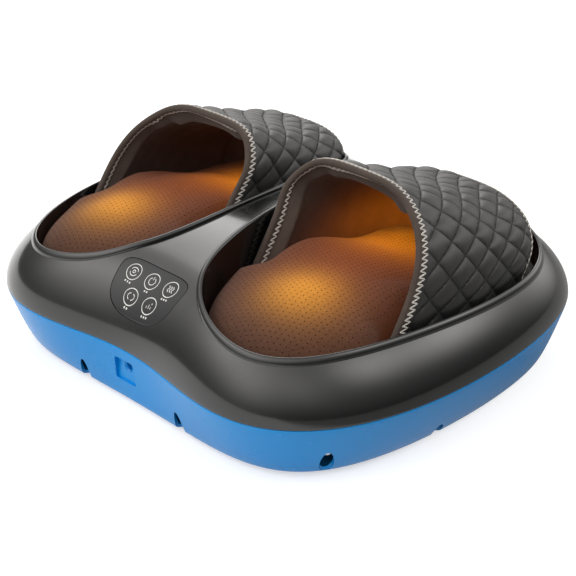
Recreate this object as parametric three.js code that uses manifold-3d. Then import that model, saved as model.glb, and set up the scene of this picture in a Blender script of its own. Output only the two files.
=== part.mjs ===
// Foot massager: a two-lobed case with a heated kneading well and a quilted toe arch for each foot.
// Millimetres, +Z up, +Y towards the toes, +X to the right foot's side.
// The origin is on the floor under the middle of the case. The left side mirrors the right.

import * as THREE from "three";
import { mergeVertices } from "three/addons/utils/BufferGeometryUtils.js";
import Module from "manifold-3d";

const wasm = await Module();
wasm.setup();

// Case
const HALF_WIDTH = 200;
const HALF_DEPTH = 166;
const BASE_BOTTOM = 3;
const PARTING_HEIGHT = 47.7;
const CROWN_HEIGHT = 117.7;
const CROWN_SIDE_DROP = 36;
const CROWN_END_DROP = 15.2;
const CROWN_MIDDLE_DIP = 10.5;
const MIDDLE_DIP_SPREAD = 60;
const SHOULDER_RADIUS = 50;
const SHELL_WALL = 2.6;
const SPINE_MARGIN = 90;
const SPINE_HALF_LENGTH = HALF_WIDTH - SPINE_MARGIN;
const TONGUE_HEIGHT = 4.5;
const TONGUE_ROOT = 6;
const TONGUE_THICKNESS = 1.6;
const TONGUE_GAP = 1.5;

// Clearances
const SEAT_GAP = 0.3;
const SLIDE_GAP = 0.4;
const COLLAR_GAP = 0.5;
const LAYER_GAP = 0.6;
const FILM_GAP = 0.9;
const CUT_OVERRUN = 6;

// Foot wells
const WELL_MIDDLE_MARGIN = 1.5;
const WELL_OUTER_MARGIN = 33;
const WELL_FRONT_MARGIN = 34.5;
const WELL_REAR_MARGIN = 12.5;
const WELL_FRONT_Y = WELL_FRONT_MARGIN - HALF_DEPTH;
const WELL_REAR_Y = HALF_DEPTH - WELL_REAR_MARGIN;
const WELL_HALF_WIDTH = (HALF_WIDTH - WELL_OUTER_MARGIN - WELL_MIDDLE_MARGIN) / 2;
const WELL_HALF_DEPTH = (WELL_REAR_Y - WELL_FRONT_Y) / 2;
const WELL_CENTRE_X = WELL_MIDDLE_MARGIN + WELL_HALF_WIDTH;
const WELL_CENTRE_Y = (WELL_REAR_Y + WELL_FRONT_Y) / 2;
const COLLAR_WALL = 2.5;
const COLLAR_BOTTOM = 64;
const SHELF_WIDTH = 20;
const SHELF_THICKNESS = 2.5;
const BEAD_WIDTH = 6.5;
const BEAD_HEIGHT = 2.8;
const BEAD_GAP = 0.9;

// Foot pads
const PAD_EDGE_HEIGHT = 72;
const PAD_CROWN_HEIGHT = 94;
const PAD_SIDE_TILT = 5;
const PAD_EDGE_ROUND = 24;
const PAD_THICKNESS = 8;
const PAD_HEEL_INSET = 2;
const PAD_ARCH_MARGIN = 5;
const PAD_STEP_LEAD = 30;
const PAD_STEP_RUN = 18;
const BULGE_HEIGHT = 11;
const BULGE_SPREAD = 22;

// Toe arches
const ARCH_SPRING_HEIGHT = 85;
const ARCH_FRONT_SETBACK = 80;
const ARCH_REAR_INNER_SETBACK = 40;
const ARCH_REAR_OUTER_SETBACK = 47.5;
const ARCH_FRONT_Y = WELL_FRONT_Y + ARCH_FRONT_SETBACK;
const ARCH_REAR_INNER_Y = WELL_REAR_Y - ARCH_REAR_INNER_SETBACK;
const ARCH_REAR_OUTER_Y = WELL_REAR_Y - ARCH_REAR_OUTER_SETBACK;
const ARCH_FRONT_RISE = 79;
const ARCH_REAR_RISE = 32.5;
const ARCH_FRONT_INNER_INSET = 3.4;
const ARCH_REAR_INNER_INSET = 8;
const ARCH_OUTER_INSET = 7.4;
const ARCH_OUTER_HUG = 3;
const ARCH_FRONT_LEAN_SHARE = 0.66;
const ARCH_REAR_LEAN_SHARE = 0.49;
const COVER_THICKNESS = 5;
const AIRBAG_THICKNESS = 2.5;
const LINING_THICKNESS = 1.8;
const QUILT_DEPTH = 1.8;
const TOE_END_INSET = 14;

// Kneading train
const HEAD_SPACING = 107;
const HEAD_OUTWARD = 12.75;
const HEEL_HEAD_SETBACK = 45.5;
const HEAD_X = WELL_CENTRE_X + HEAD_OUTWARD;
const HEAD_MIDDLE_Y = WELL_FRONT_Y + HEEL_HEAD_SETBACK + HEAD_SPACING / 2;
const GEAR_TEETH = 24;
const PINION_TEETH = 11;
const GEAR_FACE = 6;
const GEAR_BOTTOM = 54;
const GEAR_BACKLASH = 0.7;
const ADDENDUM_SHARE = 0.9;
const DEDENDUM_SHARE = 1.2;
const PRESSURE_ANGLE = THREE.MathUtils.degToRad(25);
const HEAD_RADIUS = 30;
const KNOB_RADIUS = 11;
const KNOB_CIRCLE = 19;
const KNOB_TOP = 87;
const HEAD_DISC_HEIGHT = 7;
const SHAFT_RADIUS = 4;
const SHAFT_CAP_RADIUS = 6;
const SHAFT_CAP_HEIGHT = 2;
const SHAFT_FLANGE = 3;
const BUSH_WALL = 1.8;
const HEAD_SKIRT_ROUND = 3;
const KNOBS = 3;
const PLATE_THICKNESS = 3;
const PLATE_HALF_WIDTH = 32;
const PLATE_END_MARGIN = 22;
const PLATE_CORNER = 18;
const MOTOR_RADIUS = 18;
const MOTOR_BOTTOM = 12;
const MOTOR_FLANGE = 3;
const MOTOR_NECK = 6;
const PLATE_BOSS_RADIUS = 4.5;
const PLATE_SPIGOT_RADIUS = 2.5;
const PLATE_BOSS_X = 25;
const PLATE_BOSS_Y = 58;
const BOARD_POST_X = 29;
const BOARD_POST_RADIUS = 3;
const BOARD_POST_HEIGHT = 12;
const HEAT_BOARD_WIDTH = 70;
const HEAT_BOARD_DEPTH = 18;
const BOARD_THICKNESS = 1.6;
const LAMP_RADIUS = 2.5;
const LAMP_HEIGHT = 3;
const LAMP_PITCH = 15;

// Panel
const PANEL_SETBACK = 32.5;
const PANEL_CENTRE_Y = PANEL_SETBACK - HALF_DEPTH;
const PANEL_HALF_WIDTH = 32;
const PANEL_HALF_DEPTH = 14.7;
const PANEL_THICKNESS = 1.2;
const PANEL_SINK = 0.1;
const FILM_THICKNESS = 0.8;
const FILM_INSET = 3;

// Power inlet
const JACK_X = -2.8;
const JACK_HEIGHT = 32.5;
const JACK_BARREL_RADIUS = 4.5;
const JACK_BORE_RADIUS = 2.8;
const JACK_PIN_RADIUS = 1;
const JACK_LENGTH = 13;
const JACK_BORE_DEPTH = 9;
const POCKET_X = -4.3;
const POCKET_HALF_WIDTH = 10.7;
const POCKET_BOTTOM = 19.7;
const POCKET_TOP = 38.7;
const POCKET_SETBACK = 23;
const POCKET_FLOOR_Y = POCKET_SETBACK - HALF_DEPTH;
const POCKET_WALL = 2.5;

// Fasteners and feet
const SCREW_WELL_RADIUS = 5;
const SCREW_WELL_TOP = 25;
const SCREW_BOSS_RADIUS = 7;
const SCREW_BOSS_INSETS = [17, 18, 13, 11];
const SCREW_SHANK_RADIUS = 1.5;
const SCREW_HEAD_RADIUS = 3.6;
const SCREW_HEAD_HEIGHT = 3;
const SCREW_TOP = 60;
const TOP_BOSS_RADIUS = 4.5;
const FOOT_RADIUS = 11;
const FOOT_RECESS = 1.5;
const FOOT_CHAMFER = 1.5;
const FOOT_SIDE_MARGIN = 82;
const FOOT_END_MARGIN = 54;
const FOOT_X = HALF_WIDTH - FOOT_SIDE_MARGIN;
const FOOT_Y = HALF_DEPTH - FOOT_END_MARGIN;

// Air system and electronics
const PUMP_RADIUS = 13;
const PUMP_LENGTH = 56;
const PUMP_SETBACK = 60;
const PUMP_Y = HALF_DEPTH - PUMP_SETBACK;
const PUMP_NOSE_RADIUS = 4;
const PUMP_NOSE_LENGTH = 6;
const CRADLE_THICKNESS = 4;
const CRADLE_OFFSET_X = 17;
const VALVE_WIDTH = 26;
const VALVE_DEPTH = 20;
const VALVE_HEIGHT = 24;
const VALVE_SPACING = 36;
const VALVE_Y = PUMP_Y - VALVE_SPACING;
const NIPPLE_RADIUS = 2;
const NIPPLE_LENGTH = 5;
const NIPPLE_HEIGHT_SHARE = 0.75;
const HOSE_RADIUS = 2.8;
const HOSE_BEND = 22;
const BOARD_SETBACK = 58;
const BOARD_Y = BOARD_SETBACK - HALF_DEPTH;
const BOARD_WIDTH = 84;
const BOARD_DEPTH = 46;
const BOARD_STANDOFF = 8;
const STANDOFF_RADIUS = 3;
const STANDOFF_MARGIN = 6;
const CHIP_SIZE = 12;
const CHIP_HEIGHT = 2.5;
const CAN_RADIUS = 4;
const CAN_HEIGHT = 14;
const VENT_WIDTH = 3;
const VENT_LENGTH = 36;
const VENT_PITCH = 7;
const VENT_COUNT = 5;

// Outline harmonics: shares of the half width and half depth, first to fifth.
const CASE_SIDE_SHARES = [1.025, 0.03, 0.016, 0.007, -0.012];
const CASE_DEPTH_SHARES = [1.109, 0.006, -0.156, -0.018, -0.044];
const SOLE_SIDE_SHARES = [0.944, 0.0135, 0.039];
const SOLE_DEPTH_SHARES = [1.0385, -0.032, -0.147];
const WELL_ACROSS_COS_SHARES = [1, 0.116, -0.022];
const WELL_ACROSS_SIN_SHARES = [0, -0.009];
const WELL_ALONG_COS_SHARES = [0, 0.1225, 0, 0.0225];
const WELL_ALONG_SIN_SHARES = [1, 0.1005, 0.0495];

const TAU = Math.PI * 2;
const CASE_STEPS = 44;
const WELL_STEPS = 36;
const ROUND_SIDES = 12;
const SMALL_SIDES = 8;
const TINY_SIDES = 6;

// Geometry helpers

function harmonics(angle, cosShares, sinShares) {
  let sum = 0;
  cosShares.forEach((share, k) => { sum += share * Math.cos((k + 1) * angle); });
  sinShares.forEach((share, k) => { sum += share * Math.sin((k + 1) * angle); });
  return sum;
}

function caseOutline(sideShares, depthShares, steps = CASE_STEPS) {
  const points = [];
  for (let i = 0; i < steps; i++) {
    const angle = TAU * i / steps;
    const x = HALF_WIDTH * harmonics(angle, [], sideShares);
    const y = HALF_DEPTH * harmonics(angle, depthShares, []);
    points.push(new THREE.Vector2(x, y));
  }
  const ys = points.map((p) => p.y);
  const middle = (Math.min(...ys) + Math.max(...ys)) / 2;
  return points.map((p) => new THREE.Vector2(p.x, p.y - middle));
}

function wellOutline(steps = WELL_STEPS) {
  const points = [];
  for (let i = 0; i < steps; i++) {
    const angle = TAU * i / steps;
    const across = harmonics(angle, WELL_ACROSS_COS_SHARES, WELL_ACROSS_SIN_SHARES);
    const along = harmonics(angle, WELL_ALONG_COS_SHARES, WELL_ALONG_SIN_SHARES);
    const x = WELL_CENTRE_X + WELL_HALF_WIDTH * across;
    const y = WELL_CENTRE_Y + WELL_HALF_DEPTH * along;
    points.push(new THREE.Vector2(x, y));
  }
  return points;
}

// Moves each point of a closed outline inwards by a distance, or outwards by a negative one.
function inset(points, distance) {
  const turn = THREE.ShapeUtils.isClockWise(points) ? -1 : 1;
  return points.map((p, i) => {
    const before = points[(i + points.length - 1) % points.length];
    const after = points[(i + 1) % points.length];
    const along = after.clone().sub(before).normalize();
    const depth = typeof distance === "function" ? distance(p) : distance;
    return new THREE.Vector2(p.x - along.y * depth * turn, p.y + along.x * depth * turn);
  });
}

function distanceInside(points, x, y) {
  let nearest = Infinity;
  points.forEach((a, i) => {
    const b = points[(i + 1) % points.length];
    const edge = b.clone().sub(a);
    const run = ((x - a.x) * edge.x + (y - a.y) * edge.y) / edge.lengthSq();
    const share = THREE.MathUtils.clamp(run, 0, 1);
    nearest = Math.min(nearest, Math.hypot(a.x + edge.x * share - x, a.y + edge.y * share - y));
  });
  return nearest;
}

function weld(geometry) {
  const bare = new THREE.BufferGeometry();
  bare.setAttribute("position", geometry.getAttribute("position").clone());
  if (geometry.index) bare.setIndex(geometry.index.clone());
  const merged = mergeVertices(bare);
  const source = merged.index.array;
  const kept = [];
  for (let i = 0; i < source.length; i += 3) {
    const [a, b, c] = [source[i], source[i + 1], source[i + 2]];
    if (a !== b && b !== c && c !== a) kept.push(a, b, c);
  }
  const place = merged.getAttribute("position");
  const corner = [0, 1, 2].map(() => new THREE.Vector3());
  let volume = 0;
  for (let i = 0; i < kept.length; i += 3) {
    corner.forEach((v, k) => v.fromBufferAttribute(place, kept[i + k]));
    volume += corner[0].dot(corner[1].clone().cross(corner[2]));
  }
  if (volume < 0) kept.reverse();
  merged.setIndex(kept);
  return merged;
}

function solid(geometry) {
  const closed = weld(geometry);
  const vertProperties = new Float32Array(closed.getAttribute("position").array);
  const triVerts = new Uint32Array(closed.index.array);
  return new wasm.Manifold(new wasm.Mesh({ numProp: 3, vertProperties, triVerts }));
}

function geometryOf(body) {
  const mesh = body.getMesh();
  const geometry = new THREE.BufferGeometry();
  geometry.setAttribute("position", new THREE.BufferAttribute(new Float32Array(mesh.vertProperties), 3));
  geometry.setIndex([...mesh.triVerts]);
  return geometry;
}

function ringAt(points, height) {
  return points.map((p, i) => {
    const z = typeof height === "function" ? height(p, i) : height;
    return new THREE.Vector3(p.x, p.y, z);
  });
}

// Skins rings of equal count; the last ring joins the first when the profile closes.
function loft(rings, profileCloses = false) {
  const count = rings[0].length;
  const positions = rings.flat().flatMap((p) => [p.x, p.y, p.z]);
  const index = [];
  const bands = profileCloses ? rings.length : rings.length - 1;
  for (let band = 0; band < bands; band++) {
    const low = band * count;
    const high = ((band + 1) % rings.length) * count;
    for (let i = 0; i < count; i++) {
      const next = (i + 1) % count;
      index.push(low + i, low + next, high + next, low + i, high + next, high + i);
    }
  }
  const geometry = new THREE.BufferGeometry();
  geometry.setAttribute("position", new THREE.Float32BufferAttribute(positions, 3));
  geometry.setIndex(index);
  return weld(geometry);
}

// Fills the strip between two rows of corner numbers, which may differ in count.
function stitch(index, first, second) {
  let [i, j] = [0, 0];
  const [n, m] = [first.length - 1, second.length - 1];
  while (i < n || j < m) {
    if (j === m || (i < n && (i + 1) / n <= (j + 1) / m)) {
      index.push(first[i], first[i + 1], second[j]);
      i++;
    } else {
      index.push(first[i], second[j + 1], second[j]);
      j++;
    }
  }
}

// Closes a sheet between its outer and inner grid. A creased outer grid folds along its diamonds.
function sheetBetween(outer, inner, creased = false) {
  const positions = [...outer.flat(), ...inner.flat()].flatMap((p) => [p.x, p.y, p.z]);
  const index = [];
  const numbers = (grid, start) => grid.map((row, r) => row.map((_, c) => start + r * row.length + c));
  const skins = [numbers(outer, 0), numbers(inner, outer.flat().length)];
  skins.forEach((skin, side) => {
    for (let row = 0; row < skin.length - 1; row++) {
      for (let column = 0; column < skin[row].length - 1; column++) {
        const [a, b] = [skin[row][column], skin[row][column + 1]];
        const [d, c] = [skin[row + 1][column], skin[row + 1][column + 1]];
        const slanted = creased && side === 0 && (row + column) % 2 === 1;
        const faces = slanted ? [a, b, d, b, c, d] : [a, b, c, a, c, d];
        index.push(...(side === 0 ? faces : faces.reverse()));
      }
    }
  });
  const edges = skins.map((skin) => [
    [...skin[0]].reverse(),
    skin.map((row) => row[0]),
    skin.at(-1),
    skin.map((row) => row.at(-1)).reverse(),
  ]);
  edges[0].forEach((edge, side) => stitch(index, edge, edges[1][side]));
  const geometry = new THREE.BufferGeometry();
  geometry.setAttribute("position", new THREE.Float32BufferAttribute(positions, 3));
  geometry.setIndex(index);
  return weld(geometry);
}

// A round hole drawn with straight sides clears a round of its radius.
const around = (radius, sides) => radius / Math.cos(Math.PI / sides);

function cylinder(radius, bottom, top, x = 0, y = 0, sides = SMALL_SIDES) {
  const geometry = new THREE.CylinderGeometry(radius, radius, top - bottom, sides);
  geometry.rotateX(Math.PI / 2);
  return geometry.translate(x, y, (bottom + top) / 2);
}

function box(low, high) {
  const size = high.map((value, k) => value - low[k]);
  const geometry = new THREE.BoxGeometry(...size);
  return geometry.translate(...low.map((value, k) => value + size[k] / 2));
}

// A profile of [radius, height] pairs turned about +Z.
function turned(profile, sides = ROUND_SIDES) {
  const points = profile.map(([radius, height]) => new THREE.Vector2(radius, height));
  return new THREE.LatheGeometry(points, sides).rotateX(Math.PI / 2);
}

function extruded(shape, bottom, thickness, curveSegments = 5) {
  const settings = { depth: thickness, bevelEnabled: false, curveSegments };
  return new THREE.ExtrudeGeometry(shape, settings).translate(0, 0, bottom);
}

function mirrored(geometry) {
  return weld(geometry.clone().scale(-1, 1, 1));
}

// Finishes

const paint = (color, roughness, metalness = 0) => new THREE.MeshStandardMaterial({ color, roughness, metalness });
const BLUE_GLOSS = paint(0x2f86d0, 0.3);
const BLACK_GLOSS = paint(0x1b1b1d, 0.18);
const BLACK_SATIN = paint(0x222224, 0.45);
const QUILTED = paint(0x3a3a3b, 0.6);
const MICROFIBRE = paint(0x54463e, 0.9);
const PAD_FABRIC = paint(0x4a3a34, 0.85);
const AIR_FILM = paint(0x8b8f94, 0.5);
const PANEL_FINISH = paint(0x2a2a2c, 0.35);
const CIRCUIT = paint(0x1f6b3a, 0.5);
const STEEL = paint(0xb9bcc0, 0.3, 1);
const BRASS = paint(0xb08d4a, 0.35, 1);
const GEAR_PLASTIC = paint(0xd9d6cc, 0.5);
const WHITE_PLASTIC = paint(0xe4e4e0, 0.5);
const RUBBER = paint(0x151515, 0.9);

const massager = new THREE.Group();

function addPiece(name, geometry, material) {
  const mesh = new THREE.Mesh(weld(geometry), material);
  mesh.name = name;
  massager.add(mesh);
}

function addPair(name, geometry, material) {
  addPiece(`${name}_right`, geometry, material);
  addPiece(`${name}_left`, mirrored(geometry), material);
}

// Case outlines and the crown over them

const casePlan = caseOutline(CASE_SIDE_SHARES, CASE_DEPTH_SHARES);
const solePlan = caseOutline(SOLE_SIDE_SHARES, SOLE_DEPTH_SHARES);
const wellPlan = wellOutline();
const spine = casePlan.map((p, i) => {
  return new THREE.Vector2(SPINE_HALF_LENGTH * Math.sin(TAU * i / CASE_STEPS), 0);
});

// Height of the top shell over a plan point; a skin gives the face that lies that far under it.
// Towards the front and the rear the crown falls off, and most between the two lobes.
function crownHeight(p, skin = 0) {
  const run = (distanceInside(casePlan, p.x, p.y) - skin) / (SHOULDER_RADIUS - skin);
  const share = THREE.MathUtils.clamp(run, 0, 1);
  const sideDrop = CROWN_SIDE_DROP * (p.x / HALF_WIDTH) ** 2;
  const dip = CROWN_MIDDLE_DIP * Math.exp(-((p.x / MIDDLE_DIP_SPREAD) ** 2));
  const endDrop = (CROWN_END_DROP + dip) * ((p.y - WELL_CENTRE_Y) / HALF_DEPTH) ** 2;
  const rise = CROWN_HEIGHT - sideDrop - endDrop - skin - PARTING_HEIGHT;
  return PARTING_HEIGHT + rise * Math.sqrt(1 - (1 - share) ** 2);
}

function shoulderRings(skin, steps, bottom) {
  const edge = skin ? inset(casePlan, skin) : casePlan;
  const rings = [ringAt(spine, bottom), ringAt(edge, bottom)];
  if (bottom < PARTING_HEIGHT) rings.push(ringAt(edge, PARTING_HEIGHT));
  for (let step = 1; step <= steps; step++) {
    const run = (SHOULDER_RADIUS - skin) * (1 - Math.cos(Math.PI / 2 * step / steps));
    const drawn = edge.map((p, i) => {
      const towards = spine[i].clone().sub(p);
      return p.clone().add(towards.setLength(run));
    });
    rings.push(ringAt(drawn, (p) => crownHeight(p, skin)));
  }
  const last = rings.at(-1);
  const half = spine.map((p, i) => new THREE.Vector2((p.x + last[i].x) / 2, (p.y + last[i].y) / 2));
  rings.push(ringAt(half, (p) => crownHeight(p, skin)));
  rings.push(ringAt(spine, (p) => crownHeight(p, skin)));
  return rings;
}

// Plan ring of the base wall at a height: the sole swells out to the parting line.
const WALL_BOWL_SHARE = 0.8;
function wallPlan(height, skin = 0) {
  const share = (height - BASE_BOTTOM) / (PARTING_HEIGHT - BASE_BOTTOM);
  const swell = Math.max(share, 0) ** WALL_BOWL_SHARE;
  const ring = solePlan.map((p, i) => p.clone().lerp(casePlan[i], swell));
  return skin ? inset(ring, skin) : ring;
}

const SCREW_TURN_SHARES = [0.1136, 0.267, 0.342, 0.4575];
const screwPlaces = SCREW_TURN_SHARES.flatMap((turnShare, pair) => {
  const line = inset(casePlan, SCREW_BOSS_INSETS[pair]);
  const near = (share) => {
    const step = Math.floor(share * CASE_STEPS);
    return line[step].clone().lerp(line[(step + 1) % CASE_STEPS], share * CASE_STEPS - step);
  };
  return [near(turnShare), near(1 - turnShare)];
});

// Base shell: bowl with a tongue for the top shell, screw wells, inlet pocket, bosses and vents

const baseTop = PARTING_HEIGHT - SEAT_GAP;
const floorTop = BASE_BOTTOM + SHELL_WALL;
const plateBottom = GEAR_BOTTOM - SEAT_GAP - PLATE_THICKNESS - FILM_GAP;
const plateTop = plateBottom + PLATE_THICKNESS;

function plateBossPlaces() {
  const places = [];
  for (const side of [-1, 1]) {
    for (const dx of [-PLATE_BOSS_X, PLATE_BOSS_X]) {
      for (const dy of [-PLATE_BOSS_Y, PLATE_BOSS_Y]) {
        places.push([side * (HEAD_X + dx), HEAD_MIDDLE_Y + dy]);
      }
    }
  }
  return places;
}

function baseShell() {
  const soleRound = SHELL_WALL;
  const heightShares = [0.3, 0.65];
  const wallHeights = heightShares.map((share) => BASE_BOTTOM + share * (baseTop - BASE_BOTTOM));
  const tongueOutside = SHELL_WALL + TONGUE_GAP;
  const tongueInside = tongueOutside + TONGUE_THICKNESS;
  const tongueTop = baseTop + TONGUE_HEIGHT;
  const tongueRoot = baseTop - TONGUE_ROOT;
  const outerRings = [
    ringAt(spine, BASE_BOTTOM),
    ringAt(inset(solePlan, soleRound), BASE_BOTTOM),
    ringAt(wallPlan(BASE_BOTTOM + soleRound), BASE_BOTTOM + soleRound),
    ...wallHeights.map((height) => ringAt(wallPlan(height), height)),
    ringAt(wallPlan(baseTop), baseTop),
    ringAt(inset(casePlan, tongueOutside), baseTop),
    ringAt(inset(casePlan, tongueOutside), tongueTop),
    ringAt(spine, tongueTop),
  ];
  const outer = solid(loft(outerRings));
  const innerRings = [
    ringAt(spine, floorTop),
    ringAt(wallPlan(floorTop, SHELL_WALL), floorTop),
    ...wallHeights.map((height) => ringAt(wallPlan(height, SHELL_WALL), height)),
    ringAt(wallPlan(tongueRoot, SHELL_WALL), tongueRoot),
    ringAt(inset(casePlan, tongueInside), baseTop),
    ringAt(inset(casePlan, tongueInside), tongueTop + CUT_OVERRUN),
    ringAt(spine, tongueTop + CUT_OVERRUN),
  ];
  let shell = outer.subtract(solid(loft(innerRings)));

  for (const place of screwPlaces) {
    const boss = solid(cylinder(SCREW_BOSS_RADIUS, BASE_BOTTOM, baseTop, place.x, place.y, TINY_SIDES));
    shell = shell.add(boss.intersect(outer));
  }
  for (const [x, y] of plateBossPlaces()) {
    const post = solid(cylinder(PLATE_BOSS_RADIUS, BASE_BOTTOM, plateBottom - SEAT_GAP, x, y, TINY_SIDES));
    const spigot = solid(cylinder(PLATE_SPIGOT_RADIUS, BASE_BOTTOM, plateTop, x, y, TINY_SIDES));
    shell = shell.add(post).add(spigot);
  }
  for (const [x, y] of standoffPlaces()) {
    const top = floorTop + BOARD_STANDOFF;
    shell = shell.add(solid(cylinder(STANDOFF_RADIUS, BASE_BOTTOM, top, x, y, TINY_SIDES)));
  }
  shell = shell.add(pumpCradle()).add(pocketBlock().intersect(outer));

  for (const place of screwPlaces) {
    const low = BASE_BOTTOM - CUT_OVERRUN;
    const well = cylinder(SCREW_WELL_RADIUS, low, SCREW_WELL_TOP, place.x, place.y);
    const hole = cylinder(SCREW_SHANK_RADIUS + SLIDE_GAP, low, baseTop + CUT_OVERRUN, place.x, place.y, TINY_SIDES);
    shell = shell.subtract(solid(well)).subtract(solid(hole));
  }
  for (const [x, y] of footPlaces()) {
    const top = BASE_BOTTOM + FOOT_RECESS;
    const recess = cylinder(FOOT_RADIUS + SLIDE_GAP, -CUT_OVERRUN, top, x, y, ROUND_SIDES);
    shell = shell.subtract(solid(recess));
  }
  return geometryOf(shell.subtract(pocketCut()).subtract(vents()));
}

function pocketBlock() {
  const half = POCKET_HALF_WIDTH + POCKET_WALL;
  const low = [POCKET_X - half, -HALF_DEPTH, POCKET_BOTTOM - POCKET_WALL];
  const high = [POCKET_X + half, POCKET_FLOOR_Y + POCKET_WALL, POCKET_TOP + POCKET_WALL];
  return solid(box(low, high));
}

// The pocket narrows towards its top, with the jack's hole through its floor.
function pocketCut() {
  const topShare = 0.89;
  const shape = new THREE.Shape();
  shape.moveTo(POCKET_X - POCKET_HALF_WIDTH, POCKET_BOTTOM);
  shape.lineTo(POCKET_X + POCKET_HALF_WIDTH, POCKET_BOTTOM);
  shape.lineTo(POCKET_X + POCKET_HALF_WIDTH * topShare, POCKET_TOP);
  shape.lineTo(POCKET_X - POCKET_HALF_WIDTH * topShare, POCKET_TOP);
  const depth = HALF_DEPTH + POCKET_FLOOR_Y;
  const keystone = extruded(shape, 0, depth).rotateX(Math.PI / 2).translate(0, POCKET_FLOOR_Y, 0);
  const barrel = cylinder(JACK_BARREL_RADIUS + SLIDE_GAP, -CUT_OVERRUN, CUT_OVERRUN, 0, 0, ROUND_SIDES);
  barrel.rotateX(Math.PI / 2).translate(JACK_X, POCKET_FLOOR_Y, JACK_HEIGHT);
  return solid(keystone).add(solid(barrel));
}

function vents() {
  let cuts = null;
  for (const side of [-1, 1]) {
    for (let i = 0; i < VENT_COUNT; i++) {
      const x = side * HEAD_X + (i - (VENT_COUNT - 1) / 2) * VENT_PITCH;
      const low = [x - VENT_WIDTH / 2, HEAD_MIDDLE_Y - VENT_LENGTH / 2, -CUT_OVERRUN];
      const high = [x + VENT_WIDTH / 2, HEAD_MIDDLE_Y + VENT_LENGTH / 2, floorTop + SEAT_GAP];
      const slot = solid(box(low, high));
      cuts = cuts ? cuts.add(slot) : slot;
    }
  }
  return cuts;
}

function footPlaces() {
  const places = [];
  for (const x of [-FOOT_X, FOOT_X]) {
    for (const y of [-FOOT_Y, FOOT_Y]) places.push([x, y]);
  }
  return places;
}

function standoffPlaces() {
  const places = [];
  for (const x of [-1, 1]) {
    for (const y of [-1, 1]) {
      const dx = BOARD_WIDTH / 2 - STANDOFF_MARGIN;
      const dy = BOARD_DEPTH / 2 - STANDOFF_MARGIN;
      places.push([x * dx, BOARD_Y + y * dy]);
    }
  }
  return places;
}

const pumpHeight = floorTop + SEAT_GAP + PUMP_RADIUS;

function pumpCradle() {
  let ribs = null;
  for (const side of [-1, 1]) {
    const x = side * CRADLE_OFFSET_X;
    const low = [x - CRADLE_THICKNESS / 2, PUMP_Y - PUMP_RADIUS - CRADLE_THICKNESS, BASE_BOTTOM];
    const high = [x + CRADLE_THICKNESS / 2, PUMP_Y + PUMP_RADIUS + CRADLE_THICKNESS, pumpHeight];
    const rib = solid(box(low, high));
    ribs = ribs ? ribs.add(rib) : rib;
  }
  const can = cylinder(PUMP_RADIUS + SEAT_GAP, -PUMP_LENGTH, PUMP_LENGTH, 0, 0, ROUND_SIDES);
  return ribs.subtract(solid(can.rotateY(Math.PI / 2).translate(0, PUMP_Y, pumpHeight)));
}

// Top shell: crowned skin with a hole over each well, a pocket for the panel and screw bosses

const wellHole = inset(wellPlan, -COLLAR_WALL - COLLAR_GAP);

function panelOutline(growth = 0, count = 16) {
  const squarenessShare = 0.54;
  const taperShare = 0.095;
  const points = [];
  for (let i = 0; i < count; i++) {
    const angle = TAU * i / count;
    const across = Math.sign(Math.cos(angle)) * Math.abs(Math.cos(angle)) ** squarenessShare;
    const along = Math.sign(Math.sin(angle)) * Math.abs(Math.sin(angle)) ** squarenessShare;
    const x = (PANEL_HALF_WIDTH + growth) * across * (1 + taperShare * along);
    points.push(new THREE.Vector2(x, PANEL_CENTRE_Y + (PANEL_HALF_DEPTH + growth) * along));
  }
  return points;
}

// A plate that follows the crown between two heights over it, inside a plan outline.
function crownPlate(points, bottom, top) {
  const middle = new THREE.Vector2(0, PANEL_CENTRE_Y);
  const ringShares = [0, 0.5, 1];
  const drawn = ringShares.map((share) => points.map((p) => middle.clone().lerp(p, share)));
  const rings = drawn.map((ring) => ringAt(ring, bottom));
  rings.push(...drawn.reverse().map((ring) => ringAt(ring, top)));
  return loft(rings);
}

function topShell() {
  const outer = solid(loft(shoulderRings(0, 6, PARTING_HEIGHT)));
  const inner = solid(loft(shoulderRings(SHELL_WALL, 5, PARTING_HEIGHT - CUT_OVERRUN)));
  let shell = outer.subtract(inner);
  for (const place of screwPlaces) {
    const boss = solid(cylinder(TOP_BOSS_RADIUS, PARTING_HEIGHT, CROWN_HEIGHT, place.x, place.y, TINY_SIDES));
    shell = shell.add(boss.intersect(outer));
  }
  for (const place of screwPlaces) {
    const top = SCREW_TOP + CUT_OVERRUN;
    const pilot = cylinder(SCREW_SHANK_RADIUS + SLIDE_GAP, 0, top, place.x, place.y, TINY_SIDES);
    shell = shell.subtract(solid(pilot));
  }
  const wellTop = CROWN_HEIGHT + CUT_OVERRUN;
  const cut = loft([
    ringAt(wellHole.map(() => new THREE.Vector2(WELL_CENTRE_X, WELL_CENTRE_Y)), 0),
    ringAt(wellHole, 0),
    ringAt(wellHole, wellTop),
    ringAt(wellHole.map(() => new THREE.Vector2(WELL_CENTRE_X, WELL_CENTRE_Y)), wellTop),
  ]);
  shell = shell.subtract(solid(cut)).subtract(solid(mirrored(cut)));
  const pocketFloor = (p) => crownHeight(p) - PANEL_SINK - PANEL_THICKNESS - SEAT_GAP;
  const pocket = crownPlate(panelOutline(SLIDE_GAP), pocketFloor, (p) => crownHeight(p) + CUT_OVERRUN);
  return geometryOf(shell.subtract(solid(pocket)));
}

addPiece("base_shell", baseShell(), BLUE_GLOSS);
addPiece("top_shell", topShell(), BLACK_GLOSS);

// Rim rings: a bead on the shell, a collar down into the well and the shelf that the pad sits on

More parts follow.
